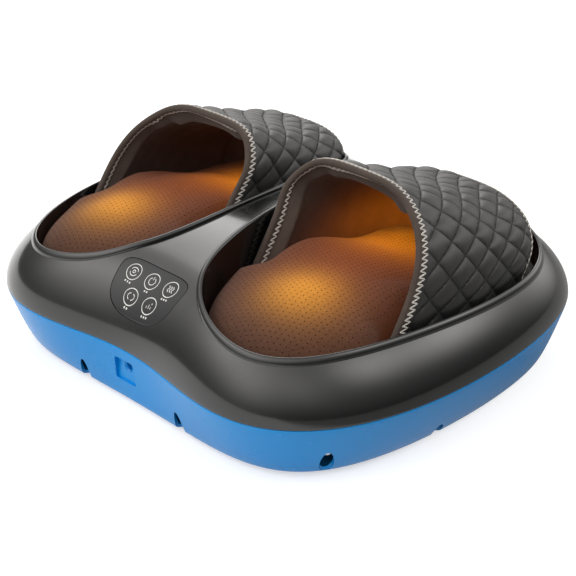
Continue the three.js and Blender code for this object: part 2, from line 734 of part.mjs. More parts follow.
function rimRing() {
  const over = (distance, rise) => ringAt(inset(wellPlan, -distance), (p) => crownHeight(p) + rise);
  const level = (distance, height) => ringAt(inset(wellPlan, distance), height);
  const rings = [
    level(SHELF_WIDTH, COLLAR_BOTTOM),
    level(SHELF_WIDTH, COLLAR_BOTTOM + SHELF_THICKNESS),
    level(0, COLLAR_BOTTOM + SHELF_THICKNESS),
    over(0, BEAD_HEIGHT / 3),
    over(BEAD_WIDTH / 4, BEAD_HEIGHT),
    over(BEAD_WIDTH * 3 / 4, BEAD_HEIGHT),
    over(BEAD_WIDTH, BEAD_GAP),
    over(COLLAR_WALL, BEAD_GAP),
    level(-COLLAR_WALL, COLLAR_BOTTOM),
  ];
  return loft(rings, true);
}

// Toe arches: sections leaning over the well, from a tall front lip to a low rear edge

const shelfSeat = COLLAR_BOTTOM + SHELF_THICKNESS + SEAT_GAP;

function wellSpan(y) {
  const crossings = [];
  wellPlan.forEach((a, i) => {
    const b = wellPlan[(i + 1) % wellPlan.length];
    if ((a.y - y) * (b.y - y) <= 0 && a.y !== b.y) crossings.push(a.x + (b.x - a.x) * (y - a.y) / (b.y - a.y));
  });
  return [Math.min(...crossings), Math.max(...crossings)];
}

const ARCH_CURVE_POINTS = 90;
const INNER_FRONT_FULLNESS = 5.2;
const OUTER_FRONT_FULLNESS = 2.6;
const INNER_REAR_FULLNESS = 3.1;
const OUTER_REAR_FULLNESS = 2.1;
const LEG_POINTS = 6;

// The section at a depth share, from the inner foot over the ridge to the outer foot.
function archSection(share) {
  const { lerp } = THREE.MathUtils;
  const innerY = lerp(ARCH_FRONT_Y, ARCH_REAR_INNER_Y, share);
  const outerY = lerp(ARCH_FRONT_Y, ARCH_REAR_OUTER_Y, share);
  const hug = ARCH_OUTER_HUG * Math.sin(Math.PI * share);
  const innerX = wellSpan(innerY)[0] + lerp(ARCH_FRONT_INNER_INSET, ARCH_REAR_INNER_INSET, share);
  const outerX = wellSpan(outerY)[1] - ARCH_OUTER_INSET + hug;
  const rise = lerp(ARCH_FRONT_RISE, ARCH_REAR_RISE, share);
  const lean = lerp(ARCH_FRONT_LEAN_SHARE, ARCH_REAR_LEAN_SHARE, share);
  const at = (across, z) => {
    const x = lerp(innerX, outerX, (1 + across) / 2);
    const y = lerp(innerY, outerY, (1 + across) / 2) + lean * (z - ARCH_SPRING_HEIGHT);
    return new THREE.Vector3(x, y, z);
  };
  const points = [];
  for (let i = 0; i < LEG_POINTS; i++) points.push(at(-1, lerp(shelfSeat, ARCH_SPRING_HEIGHT, i / LEG_POINTS)));
  for (let i = 0; i <= ARCH_CURVE_POINTS; i++) {
    const angle = Math.PI * i / ARCH_CURVE_POINTS;
    const inner = lerp(INNER_FRONT_FULLNESS, INNER_REAR_FULLNESS, share);
    const outer = lerp(OUTER_FRONT_FULLNESS, OUTER_REAR_FULLNESS, share);
    const fullness = angle < Math.PI / 2 ? inner : outer;
    const across = -Math.sign(Math.cos(angle)) * Math.abs(Math.cos(angle)) ** (2 / fullness);
    const up = Math.abs(Math.sin(angle)) ** (2 / fullness);
    points.push(at(across, ARCH_SPRING_HEIGHT + rise * up));
  }
  for (let i = 1; i <= LEG_POINTS; i++) points.push(at(1, lerp(ARCH_SPRING_HEIGHT, shelfSeat, i / LEG_POINTS)));
  return points;
}

// The same section in equal steps along its length.
function evenSection(share, steps) {
  const points = archSection(share);
  const lengths = [0];
  for (let i = 1; i < points.length; i++) lengths.push(lengths[i - 1] + points[i].distanceTo(points[i - 1]));
  const even = [];
  let piece = 1;
  for (let step = 0; step <= steps; step++) {
    const wanted = lengths.at(-1) * step / steps;
    while (piece < points.length - 1 && lengths[piece] < wanted) piece++;
    const run = (wanted - lengths[piece - 1]) / (lengths[piece] - lengths[piece - 1]);
    even.push(points[piece - 1].clone().lerp(points[piece], run));
  }
  return even;
}

// A grid on the arch, each point sunk under the arch's outer face by a depth.
const NORMAL_STEP_SHARE = 0.01;
function archGrid(shares, steps, depthAt) {
  return shares.map((share, row) => {
    const here = evenSection(share, steps);
    const front = evenSection(share - NORMAL_STEP_SHARE, steps);
    const rear = evenSection(share + NORMAL_STEP_SHARE, steps);
    return here.map((p, column) => {
      const before = here[Math.max(column - 1, 0)];
      const after = here[Math.min(column + 1, steps)];
      const normal = after.clone().sub(before).cross(rear[column].clone().sub(front[column])).normalize();
      const end = column === 0 || column === steps;
      if (end) normal.setZ(0).normalize();
      return p.clone().addScaledVector(normal, -depthAt(row, column));
    });
  });
}

const QUILT_COLUMNS = 24;
const LAYER_COLUMNS = 16;
const QUILT_ROWS = 10;
const HEM_SHARE = 0.045;
const coverShares = [0];
for (let row = 0; row <= QUILT_ROWS; row++) coverShares.push(HEM_SHARE + (1 - 2 * HEM_SHARE) * row / QUILT_ROWS);
coverShares.push(1);

// Rows of a smooth layer, closer together where the well curves in.
const LAYER_ROW_SHARES = [0, 0.36, 0.62, 0.82, 1];
const layerShares = LAYER_ROW_SHARES.map((share) => HEM_SHARE + (1 - 2 * HEM_SHARE) * share);
const TOE_END_SHARE = 0.02;

// Stitches cross the cover in diamonds: quilt corners are pulled in, middles stand proud.
function toeCover() {
  const hemRow = (row) => row === 0 || row === coverShares.length - 1;
  const sunk = (row, column) => (hemRow(row) || (row + column) % 2 === 0 ? QUILT_DEPTH : 0);
  const outer = archGrid(coverShares, QUILT_COLUMNS, sunk);
  const inner = archGrid([0, ...layerShares, 1], LAYER_COLUMNS, () => COVER_THICKNESS);
  return sheetBetween(outer, inner, true);
}

const airbagDepth = COVER_THICKNESS + LAYER_GAP;
const liningDepth = airbagDepth + AIRBAG_THICKNESS + LAYER_GAP;

function toeAirbag() {
  const outer = archGrid(layerShares, LAYER_COLUMNS, () => airbagDepth);
  const inner = archGrid(layerShares, LAYER_COLUMNS, () => airbagDepth + AIRBAG_THICKNESS);
  return sheetBetween(outer, inner);
}

// How far a closed outline lies from a point inside it, in one direction.
function reach(points, from, angle) {
  const [ux, uy] = [Math.cos(angle), Math.sin(angle)];
  let far = 0;
  points.forEach((a, i) => {
    const edge = points[(i + 1) % points.length].clone().sub(a);
    const cross = ux * edge.y - uy * edge.x;
    const run = ((a.x - from.x) * edge.y - (a.y - from.y) * edge.x) / cross;
    const share = ((a.x - from.x) * uy - (a.y - from.y) * ux) / cross;
    if (run > 0 && share >= 0 && share <= 1) far = Math.max(far, run);
  });
  return far;
}

// The foot of the toe end under a row of the lining: it goes round behind the pad on the shelf.
function toeEndFoot(row, thickness) {
  const ring = inset(wellPlan, TOE_END_INSET);
  const middle = row[0].clone().lerp(row.at(-1), 1 / 2);
  const angleOf = (p) => Math.atan2(p.y - middle.y, p.x - middle.x);
  const draw = (p) => middle.distanceTo(p) / reach(ring, middle, angleOf(p));
  const [first, last] = [draw(row[0]), draw(row.at(-1))];
  return row.map((p, column) => {
    const share = column / (row.length - 1);
    const far = reach(ring, middle, angleOf(p)) * THREE.MathUtils.lerp(first, last, share);
    const run = far - thickness * Math.sin(Math.PI * share);
    return new THREE.Vector3(middle.x + run * Math.cos(angleOf(p)), middle.y + run * Math.sin(angleOf(p)), shelfSeat);
  });
}

// The lining follows the airbag and closes the toe end behind the toes.
function toeLining() {
  const innerShares = [...layerShares.slice(0, -1), layerShares.at(-1) - TOE_END_SHARE];
  const outer = archGrid(layerShares, LAYER_COLUMNS, () => liningDepth);
  const inner = archGrid(innerShares, LAYER_COLUMNS, () => liningDepth + LINING_THICKNESS);
  outer.push(toeEndFoot(outer.at(-1), 0));
  inner.push(toeEndFoot(inner.at(-1), LINING_THICKNESS));
  return sheetBetween(outer, inner);
}

const archStack = liningDepth + LINING_THICKNESS + LAYER_GAP;

// Foot pads: a padded skin on the shelf, bulging over the two kneading heads

const padToeInset = ARCH_REAR_INNER_INSET + archStack + PAD_ARCH_MARGIN;
const padStepStart = ARCH_FRONT_Y - PAD_STEP_LEAD;
const padPlan = inset(wellPlan, (p) => {
  const share = THREE.MathUtils.smoothstep(p.y, padStepStart, padStepStart + PAD_STEP_RUN);
  return THREE.MathUtils.lerp(PAD_HEEL_INSET, padToeInset, share);
});
const headPlaces = [["heel", HEAD_MIDDLE_Y - HEAD_SPACING / 2], ["toe", HEAD_MIDDLE_Y + HEAD_SPACING / 2]];

function padHeight(p, skin = 0) {
  const run = (distanceInside(padPlan, p.x, p.y) - skin) / (PAD_EDGE_ROUND - skin);
  const share = THREE.MathUtils.clamp(run, 0, 1);
  const tilt = PAD_SIDE_TILT * (p.x - WELL_CENTRE_X) / WELL_HALF_WIDTH;
  let rise = PAD_CROWN_HEIGHT - tilt - skin - PAD_EDGE_HEIGHT;
  for (const [, y] of headPlaces) {
    const away = Math.hypot(p.x - HEAD_X, p.y - y) / BULGE_SPREAD;
    rise += BULGE_HEIGHT * Math.exp(-(away ** 2) / 2);
  }
  return PAD_EDGE_HEIGHT + rise * Math.sqrt(1 - (1 - share) ** 2);
}

function footPad() {
  const middle = new THREE.Vector2(HEAD_X, HEAD_MIDDLE_Y);
  const rings = [];
  const outerShares = [1, 0.97, 0.9, 0.8, 0.66, 0.5, 0.33, 0.16, 0];
  const innerShares = [0, 0.33, 0.7];
  const drawn = (plan, share) => plan.map((p) => middle.clone().lerp(p, share));
  const innerPlan = inset(padPlan, PAD_THICKNESS);
  rings.push(ringAt(padPlan, shelfSeat));
  outerShares.forEach((share) => rings.push(ringAt(drawn(padPlan, share), (p) => padHeight(p))));
  innerShares.forEach((share) => {
    rings.push(ringAt(drawn(innerPlan, share), (p) => padHeight(p, PAD_THICKNESS)));
  });
  rings.push(ringAt(innerPlan, PAD_EDGE_HEIGHT));
  rings.push(ringAt(innerPlan, shelfSeat));
  return loft(rings, true);
}

addPair("rim_ring", rimRing(), BLACK_GLOSS);
addPair("foot_pad", footPad(), PAD_FABRIC);
addPair("toe_cover", toeCover(), QUILTED);
addPair("toe_airbag", toeAirbag(), AIR_FILM);
addPair("toe_lining", toeLining(), MICROFIBRE);

// Control panel on the front slope, with its touch film under the shell

const panelTop = (p) => crownHeight(p) - PANEL_SINK;
const panelBottom = (p) => crownHeight(p) - PANEL_SINK - PANEL_THICKNESS;
addPiece("control_panel", crownPlate(panelOutline(), panelBottom, panelTop), PANEL_FINISH);
const filmTop = (p) => crownHeight(p, SHELL_WALL + FILM_GAP);
const filmBottom = (p) => crownHeight(p, SHELL_WALL + FILM_GAP) - FILM_THICKNESS;
addPiece("touch_film", crownPlate(panelOutline(-FILM_INSET), filmBottom, filmTop), CIRCUIT);

// Kneading train: motor, pinion and two head gears under each foot

const gearModule = HEAD_SPACING / (GEAR_TEETH + PINION_TEETH);
const gearPitchRadius = gearModule * GEAR_TEETH / 2;

// Tooth flanks follow the involute; the tooth is thinned by half the backlash on each side.
function gearShape(teeth, turn, boreRadius) {
  const pitch = gearModule * teeth / 2;
  const tipRadius = pitch + gearModule * ADDENDUM_SHARE;
  const rootRadius = pitch - gearModule * DEDENDUM_SHARE;
  const baseRadius = pitch * Math.cos(PRESSURE_ANGLE);
  const involute = (radius) => {
    const angle = Math.acos(Math.min(baseRadius / radius, 1));
    return Math.tan(angle) - angle;
  };
  const halfTooth = Math.PI / (2 * teeth) - GEAR_BACKLASH / (4 * pitch);
  const halfAngle = (radius) => halfTooth + involute(pitch) - involute(Math.max(radius, baseRadius));
  const flankRadii = teeth === PINION_TEETH ? [rootRadius, pitch, tipRadius] : [rootRadius, tipRadius];
  const points = [];
  for (let tooth = 0; tooth < teeth; tooth++) {
    const middle = turn + TAU * tooth / teeth;
    const place = (radius, angle) => new THREE.Vector2(radius * Math.cos(angle), radius * Math.sin(angle));
    flankRadii.forEach((radius) => points.push(place(radius, middle - halfAngle(radius))));
    [...flankRadii].reverse().forEach((radius) => points.push(place(radius, middle + halfAngle(radius))));
  }
  const shape = new THREE.Shape(points);
  if (boreRadius) shape.holes.push(new THREE.Path().absarc(0, 0, boreRadius, 0, TAU, true));
  return shape;
}

const bushRadius = SHAFT_RADIUS + SEAT_GAP + BUSH_WALL;
const hubBore = bushRadius + SEAT_GAP;
const gearTop = GEAR_BOTTOM + GEAR_FACE;
const discBottom = gearTop + SEAT_GAP;
const discTop = discBottom + HEAD_DISC_HEIGHT;
const capSeat = discTop - SHAFT_CAP_HEIGHT - SEAT_GAP;

function headGear(toothAngle) {
  return extruded(gearShape(GEAR_TEETH, toothAngle, hubBore), GEAR_BOTTOM, GEAR_FACE, TINY_SIDES);
}

function massageHead(turn) {
  const capBore = SHAFT_CAP_RADIUS + SLIDE_GAP;
  const disc = turned([
    [hubBore, discBottom],
    [HEAD_RADIUS, discBottom],
    [HEAD_RADIUS, discTop - HEAD_SKIRT_ROUND],
    [HEAD_RADIUS - HEAD_SKIRT_ROUND, discTop],
    [capBore, discTop],
    [capBore, capSeat - SEAT_GAP],
    [hubBore, capSeat - SEAT_GAP],
    [hubBore, discBottom],
  ]);
  const knobRise = KNOB_TOP - KNOB_RADIUS;
  const knobProfile = [[0, discBottom + SEAT_GAP], [KNOB_RADIUS, discBottom + SEAT_GAP], [KNOB_RADIUS, knobRise]];
  const domeSteps = 3;
  for (let step = 1; step < domeSteps; step++) {
    const angle = Math.PI / 2 * step / domeSteps;
    knobProfile.push([KNOB_RADIUS * Math.cos(angle), knobRise + KNOB_RADIUS * Math.sin(angle)]);
  }
  knobProfile.push([0, KNOB_TOP]);
  let head = solid(disc);
  for (let i = 0; i < KNOBS; i++) {
    const angle = turn + TAU * i / KNOBS;
    const knob = turned(knobProfile, TINY_SIDES);
    knob.translate(KNOB_CIRCLE * Math.cos(angle), KNOB_CIRCLE * Math.sin(angle), 0);
    head = head.add(solid(knob));
  }
  return geometryOf(head);
}

function headShaft() {
  const flangeTop = plateBottom - SEAT_GAP;
  return turned([
    [0, flangeTop - SHAFT_FLANGE],
    [SHAFT_CAP_RADIUS, flangeTop - SHAFT_FLANGE],
    [SHAFT_CAP_RADIUS, flangeTop],
    [SHAFT_RADIUS, flangeTop],
    [SHAFT_RADIUS, capSeat],
    [SHAFT_CAP_RADIUS, capSeat],
    [SHAFT_CAP_RADIUS, capSeat + SHAFT_CAP_HEIGHT],
    [0, capSeat + SHAFT_CAP_HEIGHT],
  ], SMALL_SIDES);
}

function headBush() {
  const bore = SHAFT_RADIUS + SEAT_GAP;
  const [low, high] = [plateTop + SEAT_GAP, capSeat - SEAT_GAP];
  return turned([[bore, low], [bushRadius, low], [bushRadius, high], [bore, high], [bore, low]], SMALL_SIDES);
}

for (const [end, y] of headPlaces) {
  const toothAngle = end === "heel" ? Math.PI / 2 + Math.PI / GEAR_TEETH : -Math.PI / 2;
  const knobTurn = end === "heel" ? 0 : Math.PI;
  const placed = (geometry) => geometry.translate(HEAD_X, y, 0);
  addPair(`massage_head_${end}`, placed(massageHead(knobTurn)), BLACK_SATIN);
  addPair(`head_gear_${end}`, placed(headGear(toothAngle)), GEAR_PLASTIC);
  addPair(`head_shaft_${end}`, placed(headShaft()), STEEL);
  addPair(`head_bush_${end}`, placed(headBush()), BRASS);
}

const motorTop = plateBottom - SEAT_GAP;

// An odd tooth count puts a tooth towards one gear and a gap towards the other, so both mesh.
function drivePinion() {
  const gear = extruded(gearShape(PINION_TEETH, -Math.PI / 2, 0), GEAR_BOTTOM, GEAR_FACE);
  const stub = cylinder(SHAFT_RADIUS, motorTop - MOTOR_NECK, GEAR_BOTTOM + SEAT_GAP);
  return geometryOf(solid(gear).add(solid(stub)));
}

function driveMotor() {
  const bore = SHAFT_RADIUS + SLIDE_GAP;
  return turned([
    [0, MOTOR_BOTTOM],
    [MOTOR_RADIUS - MOTOR_FLANGE, MOTOR_BOTTOM],
    [MOTOR_RADIUS, MOTOR_BOTTOM + MOTOR_FLANGE],
    [MOTOR_RADIUS, motorTop],
    [bore, motorTop],
    [bore, motorTop - MOTOR_NECK - SEAT_GAP],
    [0, motorTop - MOTOR_NECK - SEAT_GAP],
  ]);
}

function gearPlate() {
  const [w, l, r] = [PLATE_HALF_WIDTH, HEAD_SPACING / 2 + PLATE_END_MARGIN, PLATE_CORNER];
  const shape = new THREE.Shape();
  shape.moveTo(-w + r, -l);
  shape.lineTo(w - r, -l);
  shape.absarc(w - r, -l + r, r, -Math.PI / 2, 0, false);
  shape.lineTo(w, l - r);
  shape.absarc(w - r, l - r, r, 0, Math.PI / 2, false);
  shape.lineTo(-w + r, l);
  shape.absarc(-w + r, l - r, r, Math.PI / 2, Math.PI, false);
  shape.lineTo(-w, -l + r);
  shape.absarc(-w + r, -l + r, r, Math.PI, Math.PI * 3 / 2, false);
  const hole = (x, y, radius) => {
    shape.holes.push(new THREE.Path().absarc(x, y, around(radius, TINY_SIDES), 0, TAU, true));
  };
  hole(0, -HEAD_SPACING / 2, SHAFT_RADIUS + SEAT_GAP);
  hole(0, HEAD_SPACING / 2, SHAFT_RADIUS + SEAT_GAP);
  hole(0, 0, SHAFT_RADIUS + SLIDE_GAP);
  for (const x of [-PLATE_BOSS_X, PLATE_BOSS_X]) {
    for (const y of [-PLATE_BOSS_Y, PLATE_BOSS_Y]) hole(x, y, PLATE_SPIGOT_RADIUS + SLIDE_GAP);
  }
  let plate = solid(extruded(shape, plateBottom, PLATE_THICKNESS, TINY_SIDES / 2));
  for (const x of [-BOARD_POST_X, BOARD_POST_X]) {
    const post = cylinder(BOARD_POST_RADIUS, plateBottom + SEAT_GAP, plateTop + BOARD_POST_HEIGHT, x, 0, TINY_SIDES);
    plate = plate.add(solid(post));
  }
  return geometryOf(plate);
}

function heatBoard() {
  const low = plateTop + BOARD_POST_HEIGHT + SEAT_GAP;
  const high = low + BOARD_THICKNESS;
  const half = [HEAT_BOARD_WIDTH / 2, HEAT_BOARD_DEPTH / 2];
  let board = solid(box([-half[0], -half[1], low], [half[0], half[1], high]));
  for (const step of [-1, 0, 1]) {
    const lamp = cylinder(LAMP_RADIUS, low + BOARD_THICKNESS / 2, high + LAMP_HEIGHT, step * LAMP_PITCH, 0, TINY_SIDES);
    board = board.add(solid(lamp));
  }
  return geometryOf(board);
}

const trainPlaced = (geometry) => geometry.translate(HEAD_X, HEAD_MIDDLE_Y, 0);
addPair("drive_pinion", trainPlaced(drivePinion()), GEAR_PLASTIC);
addPair("drive_motor", trainPlaced(driveMotor()), STEEL);
addPair("gear_plate", trainPlaced(gearPlate()), BLACK_SATIN);
addPair("heat_board", trainPlaced(heatBoard()), CIRCUIT);

// Power inlet and main board

function dcJack() {
  const jack = turned([
    [0, -JACK_LENGTH],
    [JACK_BARREL_RADIUS, -JACK_LENGTH],
    [JACK_BARREL_RADIUS, 0],
    [JACK_BORE_RADIUS, 0],
    [JACK_BORE_RADIUS, -JACK_BORE_DEPTH],
    [JACK_PIN_RADIUS, -JACK_BORE_DEPTH],
    [JACK_PIN_RADIUS, -JACK_PIN_RADIUS],
    [0, -JACK_PIN_RADIUS],
  ]);
  return jack.rotateX(Math.PI / 2).translate(JACK_X, POCKET_FLOOR_Y, JACK_HEIGHT);
}

function mainBoard() {
  const low = floorTop + BOARD_STANDOFF + SEAT_GAP;
  const high = low + BOARD_THICKNESS;
  const [w, d] = [BOARD_WIDTH / 2, BOARD_DEPTH / 2];
  let board = solid(box([-w, BOARD_Y - d, low], [w, BOARD_Y + d, high]));
  const seat = low + BOARD_THICKNESS / 2;
  const chipEdge = CHIP_SIZE / 2;
  board = board.add(solid(box([-chipEdge, BOARD_Y - chipEdge, seat], [chipEdge, BOARD_Y + chipEdge, high + CHIP_HEIGHT])));
  for (const x of [-w / 2, w / 2]) {
    board = board.add(solid(cylinder(CAN_RADIUS, seat, high + CAN_HEIGHT, x, BOARD_Y)));
  }
  return geometryOf(board);
}

addPiece("dc_jack", dcJack(), BLACK_SATIN);
addPiece("main_board", mainBoard(), CIRCUIT);

// Air pump, valve and the hoses up to the airbags

function airPump() {
  const nose = PUMP_LENGTH / 2 + PUMP_NOSE_LENGTH;
  const can = turned([
    [0, -PUMP_LENGTH / 2],
    [PUMP_RADIUS, -PUMP_LENGTH / 2],
    [PUMP_RADIUS, PUMP_LENGTH / 2],
    [PUMP_NOSE_RADIUS, PUMP_LENGTH / 2],
    [PUMP_NOSE_RADIUS, nose],
    [0, nose],
  ]);
  return can.rotateY(Math.PI / 2).translate(0, PUMP_Y, pumpHeight);
}

const valveBottom = floorTop + SEAT_GAP;
const nippleHeight = valveBottom + VALVE_HEIGHT * NIPPLE_HEIGHT_SHARE;

function airValve() {
  const low = [-VALVE_WIDTH / 2, VALVE_Y - VALVE_DEPTH / 2, valveBottom];
  const high = [VALVE_WIDTH / 2, VALVE_Y + VALVE_DEPTH / 2, valveBottom + VALVE_HEIGHT];
  let valve = solid(box(low, high));
  const reach = VALVE_WIDTH / 2 + NIPPLE_LENGTH;
  const sideNipples = cylinder(NIPPLE_RADIUS, -reach, reach);
  valve = valve.add(solid(sideNipples.rotateY(Math.PI / 2).translate(0, VALVE_Y, nippleHeight)));
  return geometryOf(valve);
}

function hose(points, steps) {
  const curve = new THREE.CatmullRomCurve3(points);
  const section = new THREE.Shape();
  for (let i = 0; i < TINY_SIDES; i++) {
    const angle = TAU * i / TINY_SIDES;
    const place = [HOSE_RADIUS * Math.cos(angle), HOSE_RADIUS * Math.sin(angle)];
    if (i === 0) section.moveTo(...place);
    else section.lineTo(...place);
  }
  return new THREE.ExtrudeGeometry(section, { steps, bevelEnabled: false, extrudePath: curve });
}

// Each airbag hose climbs from its nipple to the underside of the shelf, below the airbag's inner leg.
function airbagHose() {
  const start = VALVE_WIDTH / 2 + NIPPLE_LENGTH + SEAT_GAP;
  const hoseTop = COLLAR_BOTTOM - SEAT_GAP;
  const endX = wellSpan(VALVE_Y)[0] + HOSE_BEND;
  return hose([
    new THREE.Vector3(start, VALVE_Y, nippleHeight),
    new THREE.Vector3(start + NIPPLE_LENGTH, VALVE_Y, nippleHeight),
    new THREE.Vector3(endX - HOSE_RADIUS, VALVE_Y, nippleHeight + HOSE_BEND / 2),
    new THREE.Vector3(endX, VALVE_Y, hoseTop - NIPPLE_LENGTH),
    new THREE.Vector3(endX, VALVE_Y, hoseTop),
  ], 8);
}

// The feed hose runs from the pump's nose round to the back of the valve.
function feedHose() {
  const noseX = PUMP_LENGTH / 2 + PUMP_NOSE_LENGTH + SEAT_GAP;
  const backY = VALVE_Y + VALVE_DEPTH / 2 + SEAT_GAP;
  const middleY = (PUMP_Y - PUMP_RADIUS - CRADLE_THICKNESS + backY) / 2;
  return hose([
    new THREE.Vector3(noseX, PUMP_Y, pumpHeight),
    new THREE.Vector3(noseX + HOSE_RADIUS * 2, PUMP_Y, pumpHeight),
    new THREE.Vector3(noseX + HOSE_RADIUS * 3, middleY + NIPPLE_LENGTH, pumpHeight),
    new THREE.Vector3(noseX / 2, middleY, pumpHeight),
    new THREE.Vector3(0, middleY, pumpHeight),
    new THREE.Vector3(-HOSE_RADIUS, backY + NIPPLE_LENGTH / 2, pumpHeight),
  ], 11);
}

addPiece("air_pump", airPump(), WHITE_PLASTIC);
addPiece("air_valve", airValve(), WHITE_PLASTIC);
addPair("air_hose", airbagHose(), AIR_FILM);
addPiece("feed_hose", feedHose(), AIR_FILM);

// Case screws and rubber feet

function caseScrew(place) {
  const headTop = SCREW_WELL_TOP - SEAT_GAP;
  const screw = turned([
    [0, headTop - SCREW_HEAD_HEIGHT],
    [SCREW_HEAD_RADIUS, headTop - SCREW_HEAD_HEIGHT],
    [SCREW_HEAD_RADIUS, headTop],
    [SCREW_SHANK_RADIUS, headTop],
    [SCREW_SHANK_RADIUS, SCREW_TOP],
    [0, SCREW_TOP],
  ], TINY_SIDES);
  return screw.translate(place.x, place.y, 0);
}

function rubberFoot([x, y]) {
  const top = BASE_BOTTOM + FOOT_RECESS - SEAT_GAP;
  const foot = turned([
    [0, 0],
    [FOOT_RADIUS - FOOT_CHAMFER, 0],
    [FOOT_RADIUS, FOOT_CHAMFER],
    [FOOT_RADIUS, top],
    [0, top],
  ]);
  return foot.translate(x, y, 0);
}

screwPlaces.forEach((place, i) => addPiece(`case_screw_${i + 1}`, caseScrew(place), STEEL));
footPlaces().forEach((place, i) => addPiece(`rubber_foot_${i + 1}`, rubberFoot(place), RUBBER));

export default massager;
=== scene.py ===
"""Foot massager: the looks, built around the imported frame."""

import logging
import math
from collections.abc import Callable
from dataclasses import dataclass, field
from enum import Enum

import bmesh
import bpy
import numpy as np
from mathutils import Matrix, Vector


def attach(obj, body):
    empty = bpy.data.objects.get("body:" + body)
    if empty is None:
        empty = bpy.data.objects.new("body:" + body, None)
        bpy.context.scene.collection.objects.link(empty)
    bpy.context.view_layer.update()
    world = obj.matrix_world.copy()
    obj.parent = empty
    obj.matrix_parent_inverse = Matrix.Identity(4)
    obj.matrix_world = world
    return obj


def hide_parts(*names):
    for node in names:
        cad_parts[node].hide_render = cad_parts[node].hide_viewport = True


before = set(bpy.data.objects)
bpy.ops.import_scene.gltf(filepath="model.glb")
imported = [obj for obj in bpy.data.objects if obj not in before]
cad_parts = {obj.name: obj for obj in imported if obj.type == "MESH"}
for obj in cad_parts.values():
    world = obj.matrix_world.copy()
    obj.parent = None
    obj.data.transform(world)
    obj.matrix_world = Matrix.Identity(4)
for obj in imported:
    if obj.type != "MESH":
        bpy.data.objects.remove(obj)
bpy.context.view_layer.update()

log = logging.getLogger("foot_massager")

Array = np.ndarray
Piece = bpy.types.Object
Socket = bpy.types.NodeSocket
Number = float | Socket
Depth = float | Array

MM = 0.001
TAU = 2 * math.pi
SIDES = (("right", 1), ("left", -1))
ENDS = ("heel", "toe")


# Plan outlines and small mesh tools


def harmonics(angle: Array, cos_shares: tuple, sin_shares: tuple) -> Array:
    """Sums cosine and sine harmonics.

    Args:
        angle: Angles in radians.
        cos_shares: Weights of the cosine harmonics, first harmonic first.
        sin_shares: Weights of the sine harmonics, first harmonic first.

    Returns:
        The sum at each angle.
    """
    total = np.zeros_like(angle)
    for order, share in enumerate(cos_shares, 1):
        total += share * np.cos(order * angle)
    for order, share in enumerate(sin_shares, 1):
        total += share * np.sin(order * angle)
    return total


def smoothstep(low: float, high: float, value: Array) -> Array:
    """Eases from 0 at low to 1 at high."""
    share = np.clip((value - low) / (high - low), 0, 1)
    return share * share * (3 - 2 * share)


def bell(value: Array, middle: float, spread: float) -> Array:
    """A smooth hump of height 1 round a middle."""
    return np.exp(-(((value - middle) / spread) ** 2))


def run_along(points: Array) -> Array:
    """Length along a line of points, from 0 at the first."""
    return np.concatenate([[0], np.cumsum(np.linalg.norm(np.diff(points, axis=0), axis=1))])


def resampled(points: Array, length: Array, wanted: Array) -> Array:
    """Points of a line at the wanted lengths along it."""
    return np.column_stack([np.interp(wanted, length, points[:, axis]) for axis in range(3)])


def inset(outline: Array, distance: Depth) -> Array:
    """Moves each point of a closed outline inwards.

    Args:
        outline: Points of the outline, one per row.
        distance: One distance, or one for each point; a negative one moves outwards.

    Returns:
        The moved outline.
    """
    along = np.roll(outline, -1, 0) - np.roll(outline, 1, 0)
    along /= np.linalg.norm(along, axis=1, keepdims=True)
    x, y = outline[:, 0], outline[:, 1]
    turn = 1 if (x * np.roll(y, -1) - np.roll(x, -1) * y).sum() > 0 else -1
    inwards = np.column_stack([-along[:, 1], along[:, 0]]) * turn
    return outline + inwards * np.broadcast_to(np.asarray(distance, float), len(outline))[:, None]


def distance_inside(outline: Array, points: Array) -> Array:
    """Distance from each point to the nearest edge of a closed outline.

    Args:
        outline: The outline's points.
        points: The points to measure from.

    Returns:
        One distance for each point.
    """
    edge = np.roll(outline, -1, 0) - outline
    length = (edge**2).sum(1)
    nearest = np.empty(len(points))
    for start in range(0, len(points), 4000):
        away = points[start:start + 4000, None, :] - outline[None]
        share = np.clip((away * edge).sum(2) / length, 0, 1)
        nearest[start:start + 4000] = np.linalg.norm(away - share[..., None] * edge, axis=2).min(1)
    return nearest


def ring(plan: Array, height: Depth) -> Array:
    """Lifts a plan outline to one height, or to one for each point."""
    return np.column_stack([plan, np.broadcast_to(np.asarray(height, float), len(plan))])


def linked(name: str, data: bpy.types.ID) -> Piece:
    """A new object in the scene that holds some data.

    Args:
        name: Name of the object.
        data: Its mesh or camera.

    Returns:
        The object.
    """
    made = bpy.data.objects.new(name, data)
    bpy.context.scene.collection.objects.link(made)
    return made


def new_object(name: str, points: Array, faces: list) -> Piece:
    """Links a new mesh object made of points and faces.

    Args:
        name: Name of the object.
        points: Its points, one per row.
        faces: Each face's point numbers.

    Returns:
        The object.
    """
    mesh = bpy.data.meshes.new(name)
    mesh.from_pydata(np.asarray(points).tolist(), [], faces)
    mesh.update()
    return linked(name, mesh)


def store_vectors(mesh: bpy.types.Mesh, name: str, values: Array) -> None:
    """Keeps one vector for each point of a mesh as a named attribute."""
    store = mesh.attributes.new(name, "FLOAT_VECTOR", "POINT")
    store.data.foreach_set("vector", np.asarray(values, np.float32).ravel())


def vertex_places(mesh: bpy.types.Mesh) -> Array:
    """The points of a mesh, one per row."""
    return np.array([vertex.co for vertex in mesh.vertices])


